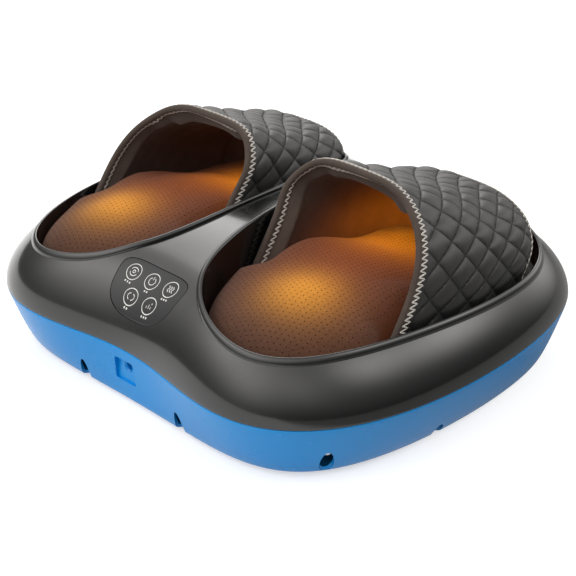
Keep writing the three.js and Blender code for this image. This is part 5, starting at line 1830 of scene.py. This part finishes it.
@dataclass
class ToeArch:
    """Quilted cover, airbag, lining and their stitching over the toes of one foot."""

    shape: CaseShape
    shelf_seat: float = 66.8 * MM
    spring: float = 85 * MM
    leg_steps: int = 8
    vault_steps: int = 180
    front_y: float = -51.5 * MM
    rear_inner_y: float = 113.5 * MM
    rear_outer_y: float = 106 * MM
    front_rise: float = 79 * MM
    rear_rise: float = 32.5 * MM
    front_inset: float = 3.4 * MM
    rear_inset: float = 8 * MM
    outer_inset: float = 7.4 * MM
    outer_hug: float = 3 * MM
    front_lean: float = 0.66
    rear_lean: float = 0.49
    fullness: tuple = (5.2, 3.1, 2.6, 2.1)
    end_inset: float = 14 * MM
    cover: float = 5 * MM
    airbag: float = 2.5 * MM
    lining: float = 1.8 * MM
    gap: float = 0.6 * MM
    diamonds_across: int = 12
    diamonds_along: int = 5
    hem: float = 0.042
    hem_gap: float = 0.004
    hem_tuck: float = 0.003
    columns: int = 288
    puff: float = 2.5 * MM
    seam_depth: float = 1.9 * MM
    edge_depth: float = 0.4 * MM
    lip: float = 4.8 * MM
    rear_curl: float = 1.2 * MM
    rear_swell: tuple = (3.4 * MM, 0.85, 0.13)
    corner_drop: tuple = (3.4 * MM, 0.67, 0.09, 0.35)
    leg_swell: tuple = (3.4 * MM, 0.258, 0.045, 0.4)
    lip_back: tuple = (1.2 * MM, 0.15, 0.1, 0.37, 0.11)
    bag_span: tuple = (0.11, 0.89)
    weld: float = 0.6 * MM
    stitch: float = 1.6 * MM
    stitch_pitch: float = 2.1 * MM
    thread: float = 0.4 * MM
    edge_thread: float = 0.6 * MM
    zigzag_pitch: float = 4.3 * MM
    zigzag_reach: float = 3.1 * MM
    folds: tuple = ((0, 0.27, 0.7, 5.6, 0), (0.29, 0.46, 0.6, 2.2, 4.2), (0.72, 0.28, 1, 2.6, 0))
    fold_row: tuple = (0.078, 0.032)
    crease: tuple = (0.5, 0.052, 0.006)
    overlap: float = 0.15 * MM
    toe_sheets: tuple = ((0.955, -1.3 * MM, 0.0), (0.935, -0.2 * MM, 1.0))
    toe_steps: int = 14
    gather: float = 0.7 * MM
    inner_seam: float = 0.036
    inner_reach: float = 2.2 * MM
    grid_margin: float = 0.06
    grid_size: tuple = (112, 400)

    def __post_init__(self) -> None:
        """Keeps the well's outline, and a grid of the plain face that every layer is read from."""
        self.well = self.shape.well(720)
        rows, columns = self.grid_size
        self.grid = self.surface(np.linspace(-self.grid_margin, 1 + self.grid_margin, rows + 1), columns)

    @property
    def stack(self) -> float:
        """Thickness of cover, airbag and lining together."""
        return self.cover + self.airbag + self.lining + 2 * self.gap

    def span(self, y: float) -> tuple:
        """Where the well's edge lies at a depth, inner side first.

        Args:
            y: The depth in the plan.

        Returns:
            The two X values.
        """
        a, b = self.well, np.roll(self.well, -1, 0)
        crosses = (a[:, 1] - y) * (b[:, 1] - y) <= 0
        a, b = a[crosses], b[crosses]
        x = a[:, 0] + (b[:, 0] - a[:, 0]) * (y - a[:, 1]) / (b[:, 1] - a[:, 1])
        return x.min(), x.max()

    def section(self, share: float, steps: int) -> Array:
        """The section at a depth share, in equal steps from the inner foot to the outer foot.

        Args:
            share: 0 at the front lip, 1 at the rear edge.
            steps: Steps along the section.

        Returns:
            The section's points.
        """
        def lerp(a: float, b: float) -> float:
            """Between the front's value and the rear's."""
            return a + (b - a) * share

        inner_y, outer_y = lerp(self.front_y, self.rear_inner_y), lerp(self.front_y, self.rear_outer_y)
        bow = math.sin(math.pi * min(max(share, 0), 1))
        inner_x = self.span(inner_y)[0] + lerp(self.front_inset, self.rear_inset)
        outer_x = self.span(outer_y)[1] - self.outer_inset + self.outer_hug * bow
        rise = lerp(self.front_rise, self.rear_rise)
        lean = lerp(self.front_lean, self.rear_lean)
        angle = np.linspace(0, math.pi, self.vault_steps + 1)
        inner, outer = lerp(*self.fullness[:2]), lerp(*self.fullness[2:])
        power = 2 / np.where(angle < math.pi / 2, inner, outer)
        across = -np.sign(np.cos(angle)) * np.abs(np.cos(angle)) ** power
        height = self.spring + rise * np.abs(np.sin(angle)) ** power
        leg = np.linspace(self.shelf_seat, self.spring, self.leg_steps + 1)[:-1]
        foot = np.ones(self.leg_steps)
        across = np.concatenate([-foot, across, foot])
        height = np.concatenate([leg, height, leg[::-1]])
        where = (1 + across) / 2
        x = inner_x + (outer_x - inner_x) * where
        y = inner_y + (outer_y - inner_y) * where + lean * (height - self.spring)
        points = np.column_stack([x, y, height])
        length = run_along(points)
        return resampled(points, length, np.linspace(0, length[-1], steps + 1))

    def surface(self, shares: Array, steps: int) -> tuple:
        """The outer face and its outward directions on a grid of shares and even steps.

        Args:
            shares: Depth shares, one per row.
            steps: Steps along each section.

        Returns:
            Points and directions.
        """
        small = 0.004
        here = np.array([self.section(s, steps) for s in shares])
        front = np.array([self.section(s - small, steps) for s in shares])
        rear = np.array([self.section(s + small, steps) for s in shares])
        normal = np.cross(np.gradient(here, axis=1), rear - front)
        normal[:, (0, -1), 2] = 0
        normal /= np.linalg.norm(normal, axis=2, keepdims=True)
        return here, normal

    def at(self, share: Array, column: Array, depth: Depth) -> Array:
        """Points a depth under the outer face, at depth shares and column shares of 0 to 1.

        Args:
            share: Depth shares.
            column: Shares across.
            depth: How far under the face.

        Returns:
            One point for each share.
        """
        rows, columns = self.grid_size
        row = (share + self.grid_margin) / (1 + 2 * self.grid_margin) * rows
        place = np.clip(column, 0, 1) * columns
        r, c = np.clip(row.astype(int), 0, rows - 1), np.clip(place.astype(int), 0, columns - 1)
        fr, fc = (row - r)[..., None], (place - c)[..., None]

        def sample(values: Array) -> Array:
            """Reads the grid between its points.

            Args:
                values: One value for each grid point.

            Returns:
                One value for each share.
            """
            near = values[r, c] * (1 - fc) + values[r, c + 1] * fc
            far = values[r + 1, c] * (1 - fc) + values[r + 1, c + 1] * fc
            return near * (1 - fr) + far * fr

        here, normal = self.grid
        return sample(here) - sample(normal) * (depth + self.relief(share, column))[..., None]

    def seams(self, share: Array, column: Array) -> tuple:
        """The two seam coordinates of the quilt, and how many rows away its nearer end is.

        Args:
            share: Depth shares.
            column: Shares across.

        Returns:
            The three values.
        """
        u = column * self.diamonds_across * 2
        v = (share - self.hem) / (1 - 2 * self.hem) * self.diamonds_along * 2
        return (u + v) / 2, (u - v) / 2, np.minimum(v, self.diamonds_along * 2 - v)

    def quilt_depth(self, share: Array, column: Array) -> Array:
        """How far the quilted face lies under the plain one: deep on the seams, proud between them.

        Args:
            share: Depth shares.
            column: Shares across.

        Returns:
            One depth for each point.
        """
        a, b, ends = self.seams(share, column)
        swell = np.abs(np.sin(math.pi * a) * np.sin(math.pi * b)) ** 0.42
        cell = np.sin(np.floor(a) * 12.9 + np.floor(b) * 78.2) * 0.5 + 0.5
        near = np.minimum(np.abs(a - np.round(a)), np.abs(b - np.round(b)))
        pucker = bell(near, 0, 0.07) * np.sin(a * 41) * np.sin(b * 41) * 0.25 * MM
        puffed = self.seam_depth - self.puff * swell * (0.86 + 0.2 * cell) + pucker * (near > 0.004)
        full = smoothstep(0.1, 0.65, ends)
        return self.edge_depth * (1 - full) + puffed * full

    def relief(self, share: Array, column: Array) -> Array:
        """How far the layers lie under the plain form.

        The front's outer corner is softer, the inner leg and the rear are fuller, the lip draws
        back over the instep, and the rear edge curls in.

        Args:
            share: Depth shares.
            column: Shares across.

        Returns:
            One depth for each point.
        """
        drop, at, spread, reach = self.corner_drop
        depth = drop * bell(column, at, spread) * (1 - smoothstep(0, reach, share))
        swell, at, spread, reach = self.leg_swell
        depth = depth - swell * bell(column, at, spread) * (1 - smoothstep(0, reach, share))
        back, row, deep, at, spread = self.lip_back
        depth = depth - back * bell(share, row, deep) * bell(column, at, spread)
        swell, row, deep = self.rear_swell
        depth = depth - swell * bell(share, row, deep) * np.sin(math.pi * np.clip(column, 0, 1)) ** 0.4
        curl = smoothstep(0.93, 1.0, share) ** 2 * (1 - smoothstep(0.6, 0.75, column))
        return depth + self.rear_curl * curl

    def lining_face(self, share: Array) -> Array:
        """Depth of the lining's inner face: thin at both lips, full where the airbag lies."""
        full = smoothstep(0.045, 0.1, np.minimum(share, 1 - share))
        return self.lip + (self.stack - self.lip) * full

    def quilt_marks(self, share: Array, column: Array) -> Array:
        """The seam coordinates of the quilt and where it is sewn, one vector for each point."""
        a, b, ends = self.seams(share, column)
        return np.stack([a + 20, b + 20, smoothstep(0.1, 0.4, ends)], axis=-1)

    def sheet(self, name: str, shares: Array, columns: int, outer: Depth, inner: Depth,
              marks: Array | None = None) -> Piece:
        """A closed layer between two depths.

        Args:
            name: Name of the object.
            shares: Depth shares of its rows.
            columns: Steps across.
            outer: Depth of its outer face, as an array or a number.
            inner: Depth of its inner face.
            marks: One vector for each point of its outer face, kept as the quilt attribute.

        Returns:
            The closed object.
        """
        share, column = np.meshgrid(shares, np.linspace(0, 1, columns + 1), indexing="ij")
        faces_out = self.at(share, column, np.broadcast_to(outer, share.shape))
        faces_in = self.at(share, column, np.broadcast_to(inner, share.shape))
        rows = [*faces_out, *faces_in[::-1]]
        count, width = len(rows), columns + 1
        faces = bands(count, width, False, True)
        for end in (0, columns):
            for row in range(len(shares) - 1):
                faces.append([at * width + end for at in (row, row + 1, count - 2 - row, count - 1 - row)])
        made = new_object(name, np.concatenate(rows), faces)
        if marks is not None:
            marks = np.concatenate([marks.reshape(-1, 3), np.zeros((share.size, 3))])
            store_vectors(made.data, "quilt", marks)
        return tidy(made, 50)

    def build(self) -> None:
        """Builds every layer and seam, and places both sides."""
        rows = np.linspace(self.hem, 1 - self.hem, 15 * self.diamonds_along * 2 + 1)
        grid = np.meshgrid(rows, np.linspace(0, 1, self.columns + 1), indexing="ij")
        thin = 1.1 * MM * (1 - smoothstep(0.05, 0.1, np.minimum(grid[0], 1 - grid[0])))
        marks = self.quilt_marks(*grid)
        cover = self.sheet("cover", rows, self.columns, self.quilt_depth(*grid), self.cover - thin, marks)
        place_pair(cover, "quilted_cover", "quilted_leather", Look.LEATHER, ("toe_cover",), fill=0.5)
        rows = np.linspace(*self.bag_span, 25)
        share, column = np.meshgrid(rows, np.linspace(0, 1, self.columns // 3 + 1), indexing="ij")
        puffed = np.abs(np.sin(share * 9) * np.sin(column * 16)) ** 0.5 * self.weld
        depth = self.cover + self.gap
        bag = self.sheet("bag", rows, self.columns // 3, depth + self.weld - puffed, depth + self.airbag)
        place_pair(bag, "airbag", "airbag_film", Look.FILM, ("toe_airbag",), fill=0.1)
        place_pair(self.lined_lip(), "arch_lining", "lining", Look.PILE, ("toe_lining",), fill=0.3)
        self.sew()

    def lined_lip(self) -> Piece:
        """The lining with its hems rolled round both edges, a loose fold inside and the toe end.

        Returns:
            The right lining.
        """
        count = self.columns * 2 // 3 + 1
        columns = np.linspace(0, 1, count)
        reach = self.rear_inner_y - self.front_y
        half = self.lip / 2
        roll = half / reach

        def face(share: float) -> float:
            """Depth of the inner face at one share."""
            return float(self.lining_face(np.array(share)))

        turns = np.linspace(0, math.pi, 15)[1:-1]
        edge, gap, tuck = 1 - self.hem, self.hem_gap, self.hem_tuck
        inside = [*np.linspace(1 - roll, 0.2, 24), *np.linspace(0.19, roll, 34)]
        path = [(share, face(share) + self.fold(share, columns)) for share in inside]
        path += [(roll * (1 - math.sin(turn)), half + half * math.cos(turn)) for turn in turns]
        path += [(share, self.overlap) for share in np.linspace(roll, self.hem - gap, 3)]
        path += [(self.hem, self.edge_depth), (self.hem + tuck, 1.6 * MM), (self.hem + tuck, 2.0 * MM)]
        under = np.linspace(self.hem + gap, edge - gap, 40)
        path += [(share, face(share) - self.lining) for share in under]
        path += [(edge - tuck, 1.6 * MM), (edge - tuck, 1.2 * MM), (edge, self.edge_depth)]
        path += [(share, self.overlap) for share in np.linspace(edge + gap, 1 - roll, 3)]
        path += [(1 - roll * (1 - math.sin(turn)), half - half * math.cos(turn)) for turn in turns]
        rows = [self.at(np.full(count, share), columns, np.broadcast_to(depth, count))
                for share, depth in path]
        return join("lining", [self.tube("hemmed", rows), self.toe_end(columns)])

    @staticmethod
    def tube(name: str, rows: list) -> Piece:
        """Closes a loop of open rows, with a face over each end.

        Args:
            name: Name of the object.
            rows: The rows' points, in order round the loop.

        Returns:
            The closed object.
        """
        width = len(rows[0])
        faces = bands(len(rows), width, False, True)
        for end in (0, width - 1):
            faces.append([row * width + end for row in range(len(rows))])
        made = new_object(name, np.concatenate(rows), faces)
        work = bmesh.new()
        work.from_mesh(made.data)
        bmesh.ops.triangulate(work, faces=[f for f in work.faces if len(f.verts) > 4], ngon_method="EAR_CLIP")
        work.to_mesh(made.data)
        work.free()
        return tidy(made, 60)

    def fold(self, share: Depth, columns: Array) -> Array:
        """How far the loose lining hangs under its plain face: a puckered fold behind the lip.

        Args:
            share: One depth share, or one for each column.
            columns: Shares across.

        Returns:
            One depth for each column.
        """
        pucker = np.sin(columns * 47 + 2 * np.sin(columns * 19)) * 0.5 + 0.5
        deep = 0
        for start, length, power, plain, puckered in self.folds:
            hump = np.sin(math.pi * np.clip((columns - start) / length, 0, 1)) ** power
            deep = deep + hump * (plain + puckered * pucker)
        row, spread = self.fold_row
        middle = row + 0.012 * np.sin(columns * 23 + 1) * smoothstep(0.3, 0.4, columns)
        sharp, at, narrow = self.crease
        ripple = 0.5 * np.sin(share * 21) ** 2
        ripple = ripple + 0.35 * np.sin(columns * 61 + share * 30) * np.sin(math.pi * share)
        ends = smoothstep(0, 0.04, columns) * smoothstep(0, 0.04, 1 - columns)
        return (deep * bell(share, middle, spread) * ends - sharp * bell(share, at, narrow) - ripple) * MM

    def toe_end(self, columns: Array) -> Piece:
        """The lining's closed end behind the toes, gathered down to the shelf.

        Args:
            columns: Shares across.

        Returns:
            The closed object.
        """
        count = len(columns)
        loop = inset(self.shape.well(360), self.end_inset)
        sheets = []
        for share, tuck, wall in self.toe_sheets:
            shares = np.full(count, share)
            top = self.at(shares, columns, self.lining_face(shares) + tuck)
            middle = (top[0, :2] + top[-1, :2]) / 2
            out = top[:, :2] - middle
            length = np.linalg.norm(out, axis=1)
            ray = out / length[:, None]
            edge, gap = np.roll(loop, -1, 0) - loop, loop - middle
            cross = ray[:, :1] * edge[:, 1] - ray[:, 1:] * edge[:, 0]
            run = (gap[:, 0] * edge[:, 1] - gap[:, 1] * edge[:, 0]) / cross
            where = (gap[:, 0] * ray[:, 1:] - gap[:, 1] * ray[:, :1]) / cross
            far = np.where((run > 0) & (where >= 0) & (where <= 1), run, 0).max(1)
            drawn = length / far
            far = far * (drawn[0] + (drawn[-1] - drawn[0]) * columns)
            far = far - wall * self.lining * np.sin(math.pi * columns)
            foot = ring(middle + ray * far[:, None], self.shelf_seat)
            rows = []
            for t in np.linspace(0, 1, self.toe_steps + 1):
                gather = (self.gather * math.sin(math.pi * t) * np.sin(columns * 75)
                          * np.sin(math.pi * columns))
                row = top * (1 - t) + foot * t
                row[:, :2] += ray * gather[:, None]
                rows.append(row)
            sheets.append(rows)
        return self.tube("toe_end", sheets[0] + sheets[1][::-1])

    def sew(self) -> None:
        """Lays the quilting thread and the zigzag seams."""
        edge, reach = self.hem - 0.002, self.zigzag_reach
        edges = [self.zigzag(edge, reach), self.zigzag(1 - edge, reach),
                 self.zigzag(self.inner_seam, self.inner_reach, inside=True)]
        for stem, thread, finish, radius, lines in (
                ("quilt_stitches", "quilting_thread", Look.BLACK_THREAD, self.thread, self.quilt_stitches()),
                ("edge_stitches", "edge_thread", Look.PALE_THREAD, self.edge_thread, edges)):
            centres, along = (np.concatenate([line[part] for line in lines]) for part in (0, 1))
            points = point_cloud(centres, {"along": along})
            laid = StitchTree(thread, finish).run(stem, points, {"Thread radius": radius})
            place_pair(laid, stem, "quilted_leather", finish)

    def quilt_stitches(self) -> list:
        """Middles and directions of the stitches on each diamond seam.

        Returns:
            One pair of arrays for each seam.
        """
        u_end, v_end = self.diamonds_across * 2, self.diamonds_along * 2
        v = np.linspace(0.12, v_end - 0.12, 500)
        lines = []
        for start in range(-v_end, u_end + 1, 2):
            for u in (start + v, start + v_end - v):
                inside = (u >= 0.3) & (u <= u_end - 0.3)
                if inside.sum() <= 20:
                    continue
                share, column = self.hem + (1 - 2 * self.hem) * v[inside] / v_end, u[inside] / u_end
                points = self.at(share, column, self.quilt_depth(share, column) - 0.12 * MM)
                length = run_along(points)
                starts = np.arange(0.5 * MM, length[-1] - self.stitch, self.stitch_pitch)
                first, last = (resampled(points, length, at) for at in (starts, starts + self.stitch))
                lines.append(((first + last) / 2, last - first))
        return lines

    def zigzag(self, share: float, swing: float, inside: bool = False) -> tuple:
        """Middles and directions of a zigzag seam along one depth share.

        Args:
            share: The seam's depth share.
            swing: How far its corners lie from its middle line.
            inside: Whether it lies on the lining's face and not on the outer one.

        Returns:
            Middles and directions of the stitches.
        """
        reach = self.rear_inner_y - self.front_y
        half = self.lip / 2

        def on_face(places: Array, columns: Array) -> Array:
            """Points on the outer or inner face, round the rolled edge where they are on it.

            Args:
                places: Depth shares.
                columns: Shares across.

            Returns:
                The points, one per row.
            """
            past = np.clip(half - np.minimum(places, 1 - places) * reach, 0, half)
            sunk = half - np.sqrt(half**2 - past**2)
            if inside:
                face = self.lining_face(places) + self.fold(places, columns)
                return self.at(places, columns, face - sunk + self.overlap)
            return self.at(places, columns, sunk - 0.05 * MM)

        columns = np.linspace(0.012, 0.988, 600)
        length = run_along(on_face(np.full(600, share), columns))
        count = int(length[-1] / (self.zigzag_pitch / 2))
        at_column = np.interp(np.linspace(0, length[-1], count), length, columns)
        corners = on_face(share + swing / reach * np.where(np.arange(count) % 2, 1, -1), at_column)
        return (corners[1:] + corners[:-1]) / 2, (corners[1:] - corners[:-1]) * 1.06


# Works inside the case


@dataclass
class Works:
    """Kneading trains, air system and electronics: nodes of the frame with finished materials."""

    def build(self) -> None:
        """Gives each inner node its finish."""
        finishes = {"touch_film": Look.CIRCUIT, "main_board": Look.CIRCUIT, "air_pump": Look.WHITE,
                    "air_valve": Look.WHITE, "feed_hose": Look.FILM}
        at_heads = {"massage_head": Look.SATIN, "head_gear": Look.GEARS, "head_shaft": Look.STEEL,
                    "head_bush": Look.BRASS}
        at_sides = {"drive_pinion": Look.GEARS, "drive_motor": Look.STEEL, "gear_plate": Look.SATIN,
                    "heat_board": Look.CIRCUIT, "air_hose": Look.FILM}
        for side, _ in SIDES:
            for end in ENDS:
                finishes |= {f"{stem}_{end}_{side}": finish for stem, finish in at_heads.items()}
            finishes |= {f"{stem}_{side}": finish for stem, finish in at_sides.items()}
        for name, finish in finishes.items():
            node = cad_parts[name]
            node.data.materials.clear()
            node.data.materials.append(finish.material())
            log.info("%s: %s", name, finish.name)


# Studio


@dataclass
class Studio:
    """Camera, floor, and a world whose walls carry soft round lights.

    Each pair of floor_white and floor_tone holds the near and the far value, and floor_turn says
    where one goes over into the other: a share of Y, a start and a length along X.
    """

    location: tuple = (711.55 * MM, -730.9 * MM, 585.96 * MM)
    target: tuple = (0.0, -16.6 * MM, 70 * MM)
    focal_share: float = 1496.5 / 576
    shift: tuple = (0.0413, -0.0481)
    floor_white: tuple = (0.56, 0.8)
    floor_tone: tuple = (0.62, 0.3)
    floor_gloss: float = 0.8
    floor_turn: tuple = (0.5, 0.12, 0.12)
    floor_half: float = 20.0
    room_colour: tuple = (1.0, 0.985, 0.965, 1)
    horizon: float = 0.05
    zenith: float = 0.62
    lights: tuple = (((0.44, 0.64, 0.63), 3.4, 53.0), ((0.1, 0.95, 0.34), 2.0, 31.0),
                     ((-0.16, -0.66, 0.73), 1.9, 7.5), ((0.52, 0.28, 0.81), 2.8, 37.7),
                     ((-0.6, 0.62, 0.5), 5.0, 30.0), ((-0.3, -0.9, 0.1), 0.16, 2.2),
                     ((0.5, -0.35, 0.8), 0.6, 20.0), ((-0.58, -0.4, 0.72), 1.6, 25.0),
                     ((-0.7, 0.2, 0.7), 0.8, 20.0))

    def build(self) -> None:
        """Sets up everything round the object."""
        scene = bpy.context.scene
        scene.view_settings.view_transform = "Standard"
        self.camera(scene)
        self.floor()
        self.world(scene)

    def camera(self, scene: bpy.types.Scene) -> None:
        """Stands the camera where the photograph was taken from.

        Args:
            scene: The scene.
        """
        data = bpy.data.cameras.new("camera")
        data.sensor_width = 36
        data.lens = 36 * self.focal_share
        data.shift_x, data.shift_y = self.shift
        data.clip_end = 60
        made = linked("camera", data)
        made.location = self.location
        aim = Vector(self.target) - Vector(self.location)
        made.rotation_euler = aim.to_track_quat("-Z", "Y").to_euler()
        scene.camera = made

    def floor(self) -> None:
        """A wide pale floor that keeps the object's shadow."""
        corners = np.array([(-1, -1, 0), (1, -1, 0), (1, 1, 0), (-1, 1, 0)]) * self.floor_half
        made = new_object("floor", corners, [(0, 1, 2, 3)])
        material = bpy.data.materials.new("studio_floor")
        bench = Bench(material)
        path = bench.node("ShaderNodeLightPath", {}, {})
        camera, glossy, passed = (Field(bench, path.outputs[f"Is {kind} Ray"])
                                  for kind in ("Camera", "Glossy", "Transmission"))
        x, y, _ = bench.axes()
        share, start, length = self.floor_turn
        turned = ((x + y * share - start) / length).clipped()
        seen = (camera + (glossy + passed) * (1 - turned) * self.floor_gloss).clipped()
        near, far = self.floor_white
        white = bench.field("ShaderNodeEmission", 0, {}, {
            "Color": (1, 1, 1, 1), "Strength": seen * (turned * (far - near) + near)})
        tones = [(tone, tone, tone) for tone in self.floor_tone]
        matt = bench.field("ShaderNodeBsdfDiffuse", 0, {}, {"Color": bench.mix(turned, *tones)})
        both = bench.field("ShaderNodeAddShader", 0, {}, {0: white, 1: matt})
        bench.node("ShaderNodeOutputMaterial", {}, {"Surface": both})
        made.data.materials.append(material)

    def world(self, scene: bpy.types.Scene) -> None:
        """A plain room with soft round lights on its walls.

        Args:
            scene: The scene.
        """
        world = bpy.data.worlds.new("studio_room")
        scene.world = world
        bench = Bench(world)
        way = bench.field("ShaderNodeTexCoord", "Generated", {}, {})
        height = bench.field("ShaderNodeSeparateXYZ", 2, {}, {0: way}).clipped()
        level = height * (self.zenith - self.horizon) + self.horizon
        for direction, strength, tightness in self.lights:
            aim = tuple(Vector(direction).normalized())
            along = bench.field("ShaderNodeVectorMath", "Value", {"operation": "DOT_PRODUCT"}, {
                0: way, 1: aim})
            level = level + ((along - 1) * tightness).exp() * strength
        back = bench.field("ShaderNodeBackground", 0, {}, {"Color": self.room_colour, "Strength": level})
        bench.node("ShaderNodeOutputWorld", {}, {"Surface": back})


def main() -> None:
    """Builds the object's sub-assemblies in order."""
    logging.basicConfig(level=logging.INFO, format="%(name)s: %(message)s")
    case = Case()
    Studio().build()
    case.build()
    ControlPanel().build(case.shape)
    FootPad(case.shape).build()
    ToeArch(case.shape).build()
    Works().build()


if __name__ == "__main__":
    main()
